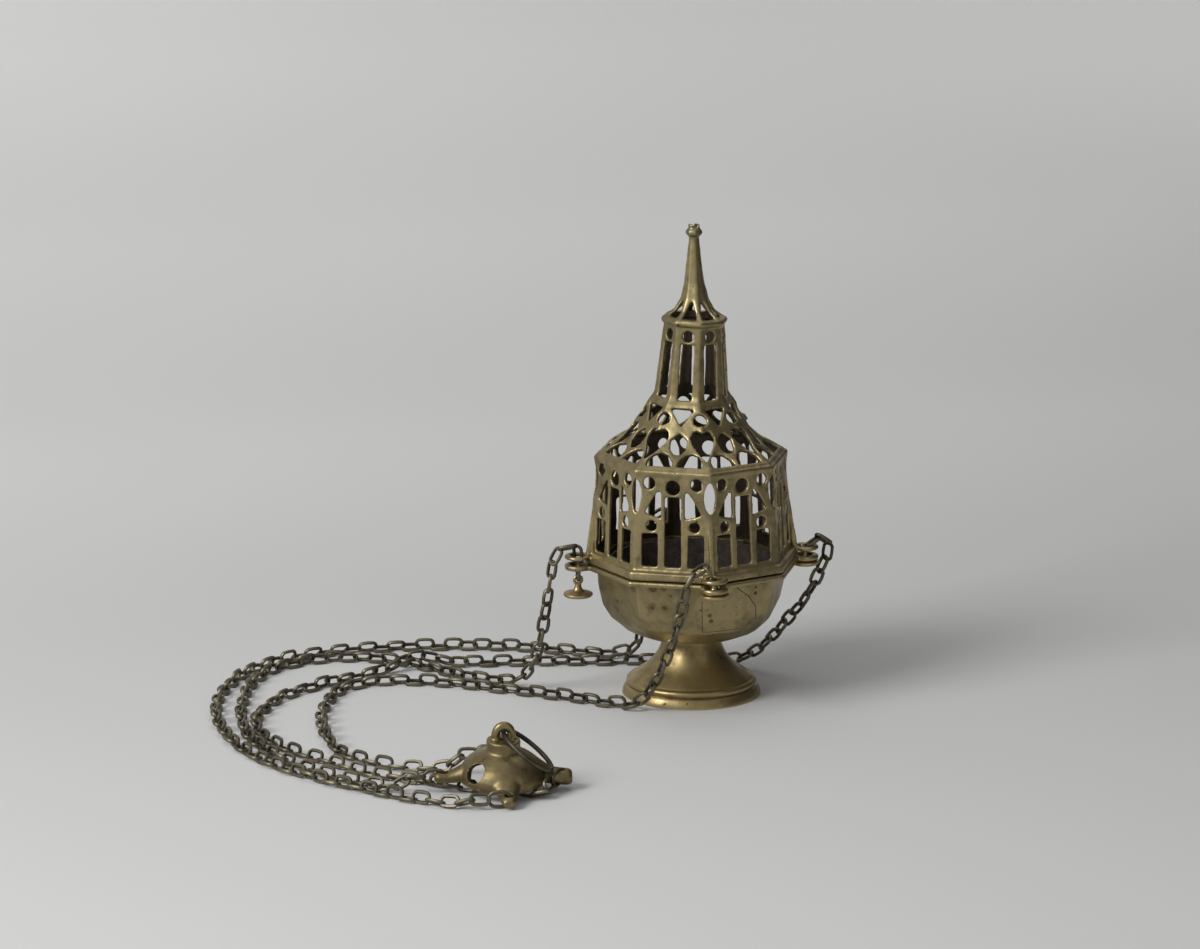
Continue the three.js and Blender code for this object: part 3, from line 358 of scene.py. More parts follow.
def agedBrass(name, cleanness=0.5, warmth=0.0, greenAbove=None, inwardDarkening=0.0, shade=1.0, marks=None):
    # brown in the hollows and pits, rubbed bright on the edges, and clouded between
    tones = brassTones
    p = Paint(name)
    clouds = p.noise(26, 5, 0.6, 0.4)
    mottle = p.noise(150, 6, 0.62)
    grain = p.noise(900, 3, 0.6)
    specks = p.noise(420, 2, 0.5)
    wear = p.pointiness()
    stain = (clouds * 0.65 + mottle * 0.35).ramp(0.42 + 0.10 * (cleanness - 0.5), 0.60)
    colour = p.mix(stain, tones["clean"], tones["olive"])
    if warmth:
        colour = p.mix(warmth, colour, tones["warm"])
    colour = p.mix(mottle.ramp(0.60, 0.74) * 0.7, colour, tones["brown"])
    hollow = 1 - wear.ramp(0.40, 0.50)
    colour = p.mix((hollow * (0.5 + mottle * 0.8)).clamped(), colour, tones["brown"])
    edge = wear.ramp(0.515, 0.60) * (0.35 + mottle * 0.9)
    colour = p.mix(edge.clamped(), colour, tones["rubbed"])
    pits = specks.ramp(0.70, 0.74)
    colour = p.mix(pits * 0.8, colour, tones["soot"])
    if greenAbove is not None:
        high = p.axis("Z").ramp(greenAbove / 1000, greenAbove / 1000 + 0.006)
        colour = p.mix(high * clouds.ramp(0.35, 0.6) * 0.45, colour, tones["green"])
    # faces that look towards the axis are painted darker
    if inwardDarkening:
        colour = darkenInward(p, colour, inwardDarkening)
    if marks:
        colour = stainsAndCracks(p, colour, marks, mottle, grain)
    if shade != 1.0:
        colour = p.mix(1 - shade, colour, tones["black"])
    rough = 0.31 + stain * 0.13 + mottle * 0.12 - edge * 0.10
    relief = p.bump(grain, 0.10, 0.05)
    relief = p.bump(mottle, 0.22, 0.35, relief)
    relief = p.bump(1 - pits, 0.5, 0.25, relief)
    return p.set(Base_Color=colour, Roughness=rough.clamped(), Metallic=0.94, Normal=relief)


linkTones = {
    "worn": (0.125, 0.112, 0.078),
    "dull": (0.058, 0.051, 0.039),
    "dark": (0.030, 0.025, 0.019),
    "rubbed": (0.38, 0.33, 0.22),
}
ironTones = {"black": (0.045, 0.038, 0.034), "grey": (0.10, 0.082, 0.072), "rust": (0.13, 0.065, 0.035)}


def linkBrass(name):
    p = Paint(name)
    clouds = p.noise(60, 4, 0.6)
    mottle = p.noise(320, 5, 0.6)
    wear = p.pointiness()
    colour = p.mix(clouds.ramp(0.38, 0.62), linkTones["worn"], linkTones["dull"])
    colour = p.mix(mottle.ramp(0.56, 0.72) * 0.7, colour, linkTones["dark"])
    colour = p.mix(wear.ramp(0.53, 0.66) * 0.45, colour, linkTones["rubbed"])
    relief = p.bump(mottle, 0.35, 0.2)
    return p.set(Base_Color=colour, Roughness=0.38 + mottle * 0.22, Metallic=0.92, Normal=relief)


def sootyIron(name):
    p = Paint(name)
    flakes = p.noise(210, 6, 0.7)
    rust = p.noise(48, 5, 0.6).ramp(0.5, 0.68)
    colour = p.mix(flakes.ramp(0.40, 0.66), ironTones["black"], ironTones["grey"])
    colour = p.mix(rust * 0.45, colour, ironTones["rust"])
    relief = p.bump(flakes, 0.5, 0.5)
    return p.set(Base_Color=colour, Roughness=0.55 + flakes * 0.35, Metallic=0.35, Normal=relief)


bowlMarks = {
    "facing": -10.0,        # degrees round from the front
    "frontFrom": 5.0,       # mm in front of the axis where the marks begin
    "stains": [             # across, up, reach and depth
        (-21.0, 55.0, 2.9, 1.0), (-14.0, 54.6, 2.7, 0.95), (-19.5, 64.5, 2.8, 0.7),
        (-15.0, 65.5, 2.0, 0.7), (-30.0, 64.0, 1.8, 0.5), (-37.6, 53.0, 2.2, 0.6),
        (31.4, 63.5, 1.4, 0.95), (31.2, 60.5, 1.2, 0.95), (29.5, 66.4, 1.4, 0.8),
        (8.0, 52.3, 1.8, 0.8), (9.0, 49.0, 1.4, 0.75), (22.0, 46.0, 1.8, 0.3),
    ],
    "cracks": [             # from, to and width
        ((21.8, 64.7), (27.6, 59.6), 0.34),
        ((27.6, 59.6), (31.4, 53.3), 0.34),
        ((31.4, 53.3), (31.6, 46.5), 0.3),
        ((4.3, 59.5), (4.6, 42.5), 0.28),
        ((4.6, 42.5), (23.0, 42.0), 0.28),
    ],
    "crackDepth": 0.8,
}
bodyBrass = agedBrass("bodyBrass", 0.5, inwardDarkening=0.8, marks=bowlMarks)
footBrass = agedBrass("footBrass", 0.75, warmth=0.25)
lidBrass = agedBrass("lidBrass", 0.45, greenAbove=232, inwardDarkening=0.85)
plateBrass = agedBrass("plateBrass", 0.2, warmth=0.12, shade=0.72)
chainBrass = linkBrass("chainBrass")
panIron = sootyIron("panIron")
print("materials made")


# profiles are [radius, height] in mm; "around" is how many sides a turned piece has,
# and "smooth" the angle in degrees below which an edge is shaded smooth
foot = {
    "outside": [
        (35.1, 0.05), (35.05, 0.9), (34.6, 2.2), (34.0, 3.6), (33.4, 4.5), (32.8, 4.85), (32.35, 5.1),
        (32.5, 5.5), (32.85, 6.1), (32.95, 6.8), (32.75, 7.5), (32.2, 8.1), (31.4, 8.45), (30.9, 8.6),
        (30.6, 8.9), (30.1, 9.3), (28.9, 10.2), (26.9, 11.6), (24.7, 13.2), (22.5, 14.9), (20.4, 16.9),
        (18.6, 19.1), (17.1, 21.6), (15.9, 24.2), (15.0, 26.9), (14.4, 29.4),
    ],
    "inside": [
        (3.4, 29.4), (3.4, 27.2), (11.6, 27.1), (13.2, 24.4), (14.9, 21.4), (17.4, 18.0), (20.4, 14.8),
        (24.4, 11.4), (28.0, 8.2), (30.1, 3.0), (30.4, 0.05),
    ],
    "around": 96,
    "smooth": 32,
}
footPiece = turnedShell("foot_cast", foot["outside"] + foot["inside"], foot["around"], mm(0, 0, 0))
smoothed(footPiece, foot["smooth"])
dress(footPiece, footBrass, "base", "cast_brass", "foot")

pan = {
    "profile": [
        (15.0, 34.65), (26.5, 35.2), (33.2, 37.8), (37.2, 41.6), (39.6, 46.5), (41.0, 52.0), (42.1, 60.0),
        (42.5, 67.7), (42.9, 68.2), (42.9, 69.0), (42.6, 69.25), (40.9, 69.25), (40.7, 67.8), (40.2, 58.0),
        (38.9, 50.0), (36.2, 44.2), (32.6, 39.8), (26.0, 37.0), (15.0, 36.15),
    ],
    "around": 72,
    "smooth": 35,
}
panPiece = turnedPiece("coal_pan_iron", pan["profile"], pan["around"], mm(0, 0, 0))
closeEnds(panPiece)
smoothed(panPiece, pan["smooth"])
dress(panPiece, panIron, "coal_pan", "iron", "coal_pan")

rivet = {
    "profile": [
        (1.2, 24.9), (3.8, 25.2), (5.1, 26.2), (5.4, 26.75), (3.0, 26.8),
        (3.0, 32.3), (5.4, 32.35), (4.9, 33.2), (3.4, 34.0), (1.0, 34.25),
    ],
    "around": 32,
    "smooth": 40,
}
rivetPiece = turnedPiece("foot_rivet_head", rivet["profile"], rivet["around"], mm(0, 0, 0))
closeEnds(rivetPiece)
smoothed(rivetPiece, rivet["smooth"])
dress(rivetPiece, footBrass, "base", "cast_brass", "foot_rivet")
print("foot, pan and rivet made")


# a cast skin over the bowl's CAD shape
bowlCasting = {"voxel": 0.72, "rounds": 7, "unevenness": 0.22, "grain": 14}
bowlPiece = copyOfNode("bowl", "bowl_cast")
castSkin(bowlPiece, **bowlCasting)
dress(bowlPiece, bodyBrass, "base", "cast_brass", "bowl")
print("bowl_cast", len(bowlPiece.data.polygons))

# the lid is a single casting: its parts grow into each other before one skin goes over all of them,
# and only then is it parted again, from the top down
lidCasting = {
    "overlap": 0.4,         # how much taller each part is made before they are joined
    "voxel": 0.52,
    "rounds": 5,
    "unevenness": 0.55,
    "grain": 9,
    "partings": {           # each part, and the height at which it begins
        "lid_spire": 194.85,
        "lid_ring_mould": 191.35,
        "lid_lantern": 153.45,
        "lid_roof": 125.15,
        "lid_drum": 0,
    },
}


def castLid(casting):
    cores = []
    for node in casting["partings"]:
        core = copyOfNode(node, node + "Core")
        heights = [vertex.co.z for vertex in core.data.vertices]
        middle, tall = (max(heights) + min(heights)) / 2, max(heights) - min(heights)
        taller = 1 + casting["overlap"] / 1000 / tall
        openMesh(core)
        bpy.ops.transform.resize(value=(1, 1, taller), center_override=(0, 0, middle))
        closeMesh()
        cores.append(core)
    whole = joined("lidWhole", cores)
    castSkin(whole, casting["voxel"], casting["rounds"], casting["unevenness"], casting["grain"])
    return whole


def partAbove(whole, height):
    # the faces above a height leave the piece and become one of their own
    openMesh(whole, "DESELECT")
    bpy.ops.mesh.select_mode(type="FACE")
    closeMesh()
    for face in whole.data.polygons:
        face.select = face.center.z > height / 1000
    bpy.ops.object.mode_set(mode="EDIT")
    bpy.ops.mesh.separate(type="SELECTED")
    bpy.ops.mesh.select_mode(type="VERT")
    closeMesh()
    return next(piece for piece in bpy.context.selected_objects if piece != whole)


lidWhole = castLid(lidCasting)
for node, height in lidCasting["partings"].items():
    piece = partAbove(lidWhole, height) if height else lidWhole
    piece.name = piece.data.name = node + "_cast"
    dress(piece, lidBrass, "lid", "cast_brass", node)
    print(piece.name, len(piece.data.polygons))


# the hand plate lies tilted on the chains
plate = {
    "place": (-121.5, -155.2, 6.2),
    "turn": -3.0,
    "pitch": 6.0,
    "roll": 1.0,
    "hole": 28.0,           # from the plate's middle to the hole in each arm
    "holeHeight": 1.5,
}
plateFrame = (
    Matrix.Translation(mm(*plate["place"]))
    @ Matrix.Rotation(math.radians(plate["turn"]), 4, "Z")
    @ Matrix.Rotation(math.radians(plate["pitch"]), 4, "X")
    @ Matrix.Rotation(math.radians(plate["roll"]), 4, "Y")
)


def loftedRod(name, rings, around=20):
    # a rod along X drawn out through oval rings of [x, z, half width, half height] in mm
    x, z, wide, tall = rings[0]
    deselectAll()
    bpy.ops.mesh.primitive_circle_add(
        vertices=around, radius=0.001, fill_type="NOTHING", rotation=(0, math.pi / 2, 0))
    piece = bpy.context.object
    piece.name = piece.data.name = name
    bpy.ops.object.transform_apply(rotation=True)
    openMesh(piece)
    bpy.ops.transform.resize(value=(1, wide, tall))
    bpy.ops.transform.translate(value=(x / 1000, 0, z / 1000))
    for before, after in zip(rings, rings[1:]):
        move = ((after[0] - before[0]) / 1000, 0, (after[1] - before[1]) / 1000)
        bpy.ops.mesh.extrude_edges_move(TRANSFORM_OT_translate={"value": move})
        bpy.ops.transform.resize(
            value=(1, after[2] / before[2], after[3] / before[3]),
            center_override=(after[0] / 1000, 0, after[1] / 1000))
    closeMesh()
    closeEnds(piece)
    return piece


def cutAway(piece, cutter):
    cut = piece.modifiers.new("cut", "BOOLEAN")
    cut.operation, cut.object, cut.solver = "DIFFERENCE", cutter, "EXACT"
    applyAll(piece)
    bpy.data.objects.remove(cutter)


# hand plate, in its own frame: a hollow dome that flows out into four arms, a collar and an arched loop
handPlate = {
    "dome": [
        (18.6, 0.1), (20.6, 0.1), (21.0, 1.0), (20.9, 2.6), (20.4, 4.8), (19.2, 7.2), (17.2, 9.6),
        (14.6, 11.7), (11.9, 13.3), (9.6, 14.3), (8.4, 15.0), (8.1, 15.8), (8.1, 20.2), (7.8, 20.5),
        (1.0, 20.5), (1.0, 12.9), (6.0, 12.8), (9.5, 11.8), (12.6, 10.3), (15.4, 8.1), (17.3, 5.4),
        (18.4, 2.6),
    ],
    "domeAround": 64,
    "arms": {               # degrees round, and each arm's rings from the dome to its tip
        0: [
            (15.5, 5.4, 7.6, 5.9), (19.5, 3.4, 6.2, 5.0), (23.0, 1.7, 5.3, 4.3), (26.5, 1.1, 5.0, 4.0),
            (29.5, 0.8, 5.0, 4.0), (31.6, 0.7, 4.8, 3.9), (33.2, 0.7, 3.8, 3.1),
        ],
        90: [
            (15.5, 5.2, 6.6, 5.0), (19.5, 3.4, 5.2, 4.0), (23.0, 2.0, 4.0, 2.9), (26.0, 1.5, 3.7, 2.5),
            (30.8, 1.5, 3.4, 2.5), (32.2, 1.5, 2.0, 1.8),
        ],
        180: [
            (15.5, 5.2, 6.8, 5.2), (19.5, 3.5, 5.2, 4.3), (23.0, 2.2, 4.3, 3.4), (26.0, 1.6, 4.0, 2.9),
            (31.0, 1.6, 3.7, 2.8), (32.6, 1.6, 2.4, 2.1),
        ],
        270: [
            (15.5, 5.0, 7.6, 5.2), (19.5, 3.0, 6.6, 4.1), (23.0, 1.7, 5.2, 2.9), (26.5, 1.3, 4.2, 2.5),
            (30.0, 0.8, 3.8, 2.5), (32.4, 0.3, 2.8, 1.9),
        ],
    },
    "loop": (3.9, 2.05, 22.6, 1.15),             # centre line radius, half thickness, height, stretch upwards
    "windows": (34, 218),                        # degrees round
    "window": (5.0, 17.5, 7.4, 20),              # radius, distance out, height, degrees that it faces up
    "windowCut": 12,                             # mm that the window's cutter is long
    "armHole": 2.1,
    "armHoleCut": (20, 2),                       # mm that its cutter is long, and its middle's height
    "voxel": 0.48,
    "rounds": 7,
    "unevenness": 0.3,
    "grain": 11,
    "rimRounds": 3,
    "smooth": 50,
}


def makeHandPlate(values):
    parts = [turnedShell("dome", values["dome"], values["domeAround"], Vector((0, 0, 0)))]
    for turn, rings in values["arms"].items():
        arm = loftedRod("arm", rings)
        arm.rotation_euler = (0, 0, math.radians(turn))
        settle(arm)
        parts.append(arm)
    reach, half, height, stretch = values["loop"]
    deselectAll()
    bpy.ops.mesh.primitive_torus_add(
        major_radius=reach / 1000, minor_radius=half / 1000, major_segments=40, minor_segments=16,
        location=(0, 0, height / 1000), rotation=(math.pi / 2, 0, 0))
    bpy.context.object.scale = (1, stretch, 1)
    settle(bpy.context.object)
    parts.append(bpy.context.object)
    piece = joined("hand_plate_cast", parts)
    castSkin(piece, values["voxel"], values["rounds"], values["unevenness"], values["grain"])
    radius, out, height, up = values["window"]
    for turn in values["windows"]:
        deselectAll()
        bpy.ops.mesh.primitive_cylinder_add(
            vertices=40, radius=radius / 1000, depth=values["windowCut"] / 1000,
            location=(out / 1000, 0, height / 1000), rotation=(0, math.radians(90 - up), 0))
        settle(bpy.context.object)
        bpy.context.object.rotation_euler = (0, 0, math.radians(turn))
        settle(bpy.context.object)
        cutAway(piece, bpy.context.object)
    depth, height = values["armHoleCut"]
    for turn in values["arms"]:
        a = math.radians(turn)
        x, y = plate["hole"] * math.cos(a), plate["hole"] * math.sin(a)
        deselectAll()
        bpy.ops.mesh.primitive_cylinder_add(
            vertices=28, radius=values["armHole"] / 1000, depth=depth / 1000,
            location=(x / 1000, y / 1000, height / 1000))
        settle(bpy.context.object)
        cutAway(piece, bpy.context.object)
    soften = piece.modifiers.new("rims", "SMOOTH")
    soften.factor, soften.iterations = 0.5, values["rimRounds"]
    applyAll(piece)
    piece.data.transform(plateFrame)
    smoothed(piece, values["smooth"])
    return piece


platePiece = makeHandPlate(handPlate)
dress(platePiece, plateBrass, "hand_plate", "cast_brass", "hand_plate")
print("hand_plate_cast", len(platePiece.data.polygons))


button = {
    "profile": [
        (1.0, -2.6), (4.4, -2.35), (6.6, -1.95), (7.35, -1.3), (7.5, -0.75), (7.3, -0.25), (6.7, 0.0),
        (4.6, 0.35), (3.3, 0.8), (2.5, 1.5), (1.9, 2.5), (1.6, 3.6), (1.7, 4.6),
    ],
    "around": 36,
    "eye": (2.0, 0.72, 6.5),   # ring radius, wire radius, height above the disc
    "smooth": 40,
}
buttonSeats = {             # the top of each disc, in mm from the thurible's axis
    "front": (0, -58.3, 66.4),
    "right": (58.3, 0, 66.4),
    "back": (0, 58.3, 66.4),
    "left": (-58.3, 0, 54.7),
}
eyeTurns = {"front": 0, "right": 0, "back": 90, "left": 0}     # degrees, of the eye about its stem


def makeButton(side, seat):
    disc = turnedPiece("disc", button["profile"], button["around"], mm(*seat))
    closeEnds(disc)
    ring, wire, height = button["eye"]
    turn = math.radians(eyeTurns[side])
    deselectAll()
    bpy.ops.mesh.primitive_torus_add(
        major_radius=ring / 1000, minor_radius=wire / 1000, major_segments=24, minor_segments=10,
        location=mm(seat[0], seat[1], seat[2] + height), rotation=(math.pi / 2, 0, turn))
    eye = bpy.context.object
    settle(eye)
    piece = joined("button_%s_turned" % side, [disc, eye])
    smoothed(piece, button["smooth"])
    dress(piece, footBrass, "button_" + side, "cast_brass", "button_" + side)


for side, seat in buttonSeats.items():
    makeButton(side, seat)
print("buttons made")


link = {"length": 10.8, "width": 6.9, "wire": 1.85, "pitch": 7.5}
armLink = {
    "length": 12.0,
    "width": 9.2,
    "wire": 1.75,
    "setBack": 0.6,         # mm that its wire sits inwards of the middle of the arm's hole
}
coilTurns = {"arm": "back", "fan": (-11, 0, 11), "wire": 1.35}     # degrees between the turns of wire
wireSmooth = 60


def makeLink(name, size, around=16, across=6):
    # a wire ring pulled long: it lies in the XY plane with its length along X
    bend = (size["width"] - size["wire"]) / 2000
    stretch = (size["length"] - size["width"]) / 2000
    deselectAll()
    bpy.ops.mesh.primitive_torus_add(
        major_radius=bend, minor_radius=size["wire"] / 2000, major_segments=around, minor_segments=across)
    piece = bpy.context.object
    piece.name = piece.data.name = name
    for way in (-1, 1):
        # the points in the very middle stay where they are
        selectWhere(piece.data, lambda place: place.x * way > weldGap["turned"])
        bpy.ops.object.mode_set(mode="EDIT")
        bpy.ops.transform.translate(value=(way * stretch, 0, 0))
        bpy.ops.mesh.select_all(action="DESELECT")
        closeMesh()
    return piece


linkShape = makeLink("linkShape", link)
armLinkShape = makeLink("armLinkShape", armLink, 20, 8)
coilShape = makeLink("coilShape", {**armLink, "wire": coilTurns["wire"]}, 20, 8)


def placedLink(shape, centre, along, up):
    # a copy of the link with its length along one direction and its flat side towards another
    copy = shape.copy()
    copy.data = shape.data.copy()
    bpy.context.collection.objects.link(copy)
    x = along.normalized()
    z = (up - up.project(x)).normalized()
    turn = Matrix((x, z.cross(x), z)).transposed().to_4x4()
    copy.data.transform(Matrix.Translation(centre) @ turn)
    return copy


# routes in mm from the thurible's axis: the solids' own points, but for the first five of the front
# and right chains, which start at a leaning end link; "fall" is the number of the point where the
# drop ends, "turn" that of the point where the far bend starts, and "arm" the plate's arm it ends at
low = 2.3
routes = {
    "front": {
        "fall": 9, "turn": 15, "arm": "back",
        "points": [
            (-4.6, -58.4, 79.9), (-6.6, -58.6, 79), (-10.2, -59.2, 76.4), (-13.6, -59.4, 71),
            (-15.6, -58, 61.5), (-18.2, -53.5, 47), (-22.2, -46, 30), (-27.2, -38.6, 15),
            (-33.5, -32, 5.5), (-43, -24, low), (-68, -5, low), (-94, 13, low), (-124, 31, low),
            (-150, 38, low), (-172, 31, low), (-186, 4, low), (-193, -40, low), (-190, -84, low),
            (-176, -105, low), (-159, -117, low), (-144, -124, 4.5),
        ],
    },
    "right": {
        "fall": 10, "turn": 24, "arm": "right",
        "points": [
            (65.2, 0, 77.6), (67.6, 0.1, 77), (69.8, 0.4, 74.4), (70.2, 1, 69.5), (67.3, 2.2, 62),
            (63.6, 5.7, 51), (58.6, 11.5, 40), (52.2, 19, 29), (44.8, 28.5, 16.5), (35, 37.5, 6.5),
            (24, 45.5, low), (10, 51.5, low), (-10, 54, low), (-30, 56, low), (-50, 59, low), (-72, 62, low),
            (-98, 64.5, low), (-112, 66, 2.8), (-121, 67, 5), (-131.5, 66.5, 6.8), (-142, 61.5, 5),
            (-152, 56, 2.8), (-166, 48.5, low), (-186, 37, low), (-205, 21, low), (-218.5, -1, low),
            (-225, -25, low), (-224, -50, low), (-215, -75, low), (-197.5, -99.5, low), (-179, -123, low),
            (-165, -134.5, low), (-155, -141, low), (-146, -147, low), (-138, -152.5, low),
            (-130, -157.5, low), (-121, -161, low), (-113.5, -165, 2.1), (-108.5, -168.6, 2),
            (-105, -171, 2.2),
        ],
    },
    "back": {
        "fall": 8, "turn": 14, "arm": "front",
        "points": [
            (-3.7, 58.4, 79.8), (-6, 58.6, 78.9), (-9.8, 59.6, 75.6), (-12.4, 60.5, 70.4), (-13.8, 61, 60),
            (-14.4, 60.5, 40), (-14.9, 61, 20), (-17.4, 63, 8), (-27, 68, low), (-46, 77, low),
            (-72, 90, low), (-104, 98.5, low), (-137, 102, low), (-171, 99, low), (-198, 88, low),
            (-220, 66, low),
            (-236, 30, low), (-243, -12, low), (-240, -54, low), (-228, -92, low), (-208, -124, low),
            (-183, -150, low), (-162, -169, low), (-148, -179, low),
        ],
    },
    "left": {
        "fall": 11, "turn": 18, "arm": "left",
        "points": [
            (-58.3, 0, 71.5), (-58.5, 0, 75.2), (-60.3, 0, 77.6), (-63.9, 0, 78.2), (-67.6, 0.3, 76.2),
            (-70.2, 0.8, 72), (-72, 2, 62), (-74, 4.5, 45), (-76.5, 8, 28), (-80, 13.5, 13.5), (-86, 21, 5),
            (-95, 28, low), (-107, 37, low), (-118, 50, low), (-129, 64, low), (-141, 76, low),
            (-157, 84, low), (-180, 85, low), (-203, 73, low), (-219, 46, low), (-228, 10, low),
            (-231.5, -28, low), (-228, -64, low), (-214, -100, low), (-195, -127, low),
            (-180, -143, low), (-172, -149.5, 4),
        ],
    },
}

# degrees round from the plate's right arm to each arm, and the way that its end link points
arms = {"front": (-90, 180), "right": (0, 239.4), "back": (90, 180), "left": (180, 180)}


def armSpot(arm, distance):
    # a point in line with the arm's end link, in the shared frame
    out, away = (math.radians(a) for a in arms[arm])
    spot = Vector((
        plate["hole"] * math.cos(out) + distance * math.cos(away),
        plate["hole"] * math.sin(out) + distance * math.sin(away),
        plate["holeHeight"])) / 1000
    return plateFrame @ spot


def splineThrough(points, steps=16, shortest=1e-6):
    # a smooth line through the points, as [place, number of the point it has reached]
    line = []
    padded = [2 * points[0] - points[1], *points, 2 * points[-1] - points[-2]]
    for i in range(len(points) - 1):
        p0, p1, p2, p3 = padded[i:i + 4]
        # centripetal spacing keeps tight bends from looping
        t1 = max((p1 - p0).length, shortest) ** 0.5
        t2 = t1 + max((p2 - p1).length, shortest) ** 0.5
        t3 = t2 + max((p3 - p2).length, shortest) ** 0.5
        for k in range(steps):
            t = t1 + (t2 - t1) * k / steps
            a1 = p0 * ((t1 - t) / t1) + p1 * (t / t1)
            a2 = p1 * ((t2 - t) / (t2 - t1)) + p2 * ((t - t1) / (t2 - t1))
            a3 = p2 * ((t3 - t) / (t3 - t2)) + p3 * ((t - t2) / (t3 - t2))
            b1 = a1 * ((t2 - t) / t2) + a2 * (t / t2)
            b2 = a2 * ((t3 - t) / (t3 - t1)) + a3 * ((t - t1) / (t3 - t1))
            line.append((b1 * ((t2 - t) / (t2 - t1)) + b2 * ((t - t1) / (t2 - t1)), i + k / steps))
    line.append((points[-1], float(len(points) - 1)))
    return line


def stations(line, first, pitch):
    # places a pitch apart along the line: [place, direction, number]
    lengths = [0.0]
    for (a, _), (b, _) in zip(line, line[1:]):
        lengths.append(lengths[-1] + (b - a).length)
    count = max(2, round((lengths[-1] - 2 * first) / pitch) + 1)
    step = (lengths[-1] - 2 * first) / (count - 1)
    found, at = [], 0
    for i in range(count):
        s = first + i * step
        while at < len(lengths) - 2 and lengths[at + 1] < s:
            at += 1
        share = (s - lengths[at]) / (lengths[at + 1] - lengths[at])
        (a, na), (b, nb) = line[at], line[at + 1]
        found.append((a.lerp(b, share), (b - a).normalized(), na + (nb - na) * share))
    return found, lengths[-1]


lay = {
    "firstLink": 2.8,       # mm from either end of the route to the middle of the link there
    "slack": 0.3,           # mm between the arm's link and the chain's last one
    "armRun": 4.32,         # mm between the route's last two points
    "leans": (24, 114),     # degrees that the links are turned about the route, by turns
    "leanSpread": 17,
    "twist": (40, 0.9),     # how far, in degrees, and how fast the hanging part winds to and fro
    "twistUntil": 1.5,      # points before the drop's end where that stops
    "lieFrom": 1,           # points before the drop's end from which links lie on the ground
    "lieBelow": 4.5,        # mm of height under which they do
    "atPlate": 2,           # links at the plate that don't
    "clearance": 0.1,
    "sway": 0.4,
    "steep": 0.2,           # a route that runs less than this sideways counts as upright
}


def linkAt(route, i, place, along, number, last):
    # one link of a chain, turned, laid down and pushed about a little
    upright, twist, pace = route["fall"] - lay["twistUntil"], *lay["twist"]
    lean = math.radians(lay["leans"][i % 2] + dice.uniform(-lay["leanSpread"], lay["leanSpread"]))
    if number < upright:
        lean += math.radians(twist * math.sin(i * pace))
    flat = Vector((-along.y, along.x, 0))
    flat = flat.normalized() if flat.length > lay["steep"] else Vector((0, 1, 0))
    up = along.cross(flat).normalized()
    if up.z < 0:
        up = -up
    facing = up * math.cos(lean) + flat * math.sin(lean)
    spot = place.copy()
    half = (link["width"] - link["wire"]) / 2000
    wire = link["wire"] / 2000
    reach = (link["length"] - link["wire"]) / 2000
    rest = half * abs(along.cross(facing).z) + reach * abs(along.z) + wire + lay["clearance"] / 1000
    onGround = number > route["fall"] - lay["lieFrom"] and i < last - lay["atPlate"]
    if onGround and spot.z < lay["lieBelow"] / 1000:
        spot.z = rest
    spot.z = max(spot.z, rest)
    sway = dice.uniform(-lay["sway"] / 1000, lay["sway"] / 1000)
    spot += Vector((-along.y, along.x, 0)) * sway
    return placedLink(linkShape, spot, along, facing)


def hangChain(side, route):
    points = [mm(*p) for p in route["points"]]
    meeting = armLink["length"] - armLink["wire"] / 2 - armLink["setBack"] + lay["slack"]
    points += [armSpot(route["arm"], meeting + lay["armRun"]), armSpot(route["arm"], meeting)]
    line = splineThrough(points)
    places, length = stations(line, lay["firstLink"] / 1000, link["pitch"] / 1000)
    near, far = [], []
    for i, (place, along, number) in enumerate(places):
        stretch = near if number < route["turn"] else far
        stretch.append(linkAt(route, i, place, along, number, len(places) - 1))
    # each stretch's own line runs to the ends of its last links
    split = next(i for i, found in enumerate(places) if found[2] >= route["turn"])
    halfLink = link["length"] / 2000
    path = [[], []]
    for point, number in line:
        if number < route["turn"] or (point - places[split - 1][0]).length < halfLink:
            path[0].append(point)
        if number >= route["turn"] or (point - places[split][0]).length < halfLink:
            path[1].append(point)
    nearPiece = joined("chain_%s_near" % side, near)
    farPiece = joined("chain_%s_far" % side, far)
    for piece in (nearPiece, farPiece):
        smoothed(piece, wireSmooth)
    dress(nearPiece, chainBrass, None, "chain_brass", "chain_%s_drop" % side, "chain_%s_run" % side)
    dress(farPiece, chainBrass, None, "chain_brass", "chain_%s_return" % side)
    for piece, part in ((nearPiece, path[0]), (farPiece, path[1])):
        run = sum((b - a).length for a, b in zip(part, part[1:]))
        part[::3] + [part[-1]]
    # each stretch's place goes into its mesh
    mm(-55, 0, 0)
    mm(-170, 0, 0)
    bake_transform(nearPiece)
    mm(0, 0, 0)
    mm(0, -120, 0)
    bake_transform(farPiece)
    print("chain", side, len(near), "and", len(far), "links, length", round(length, 3))


for side, route in routes.items():
    hangChain(side, route)

# the lowest link of each chain stands in its lug's hole, through the button's eye,
# and leans as its chain pulls
endLink = {
    "lean": {"front": -33, "right": 56, "back": 0, "left": 0},     # degrees from upright
    "nearer": 0.15,         # mm that its wire sits inwards of the middle of the eye
}
for side, (x, y, z) in buttonSeats.items():
    lean = math.radians(endLink["lean"][side])
    along = Vector((math.sin(lean), 0, math.cos(lean)))
    flatSide = Vector((1, 0, 0)) if eyeTurns[side] == 0 else Vector((0, 1, 0))
    eye = mm(x, y, z + button["eye"][2])
    centre = eye + along * ((link["length"] - link["wire"]) / 2 - endLink["nearer"]) / 1000
    piece = placedLink(linkShape, centre, along, flatSide)
    piece.name = piece.data.name = "end_link_%s_wire" % side
    smoothed(piece, wireSmooth)
    dress(piece, chainBrass, "button_" + side, "chain_brass", "end_link_" + side)

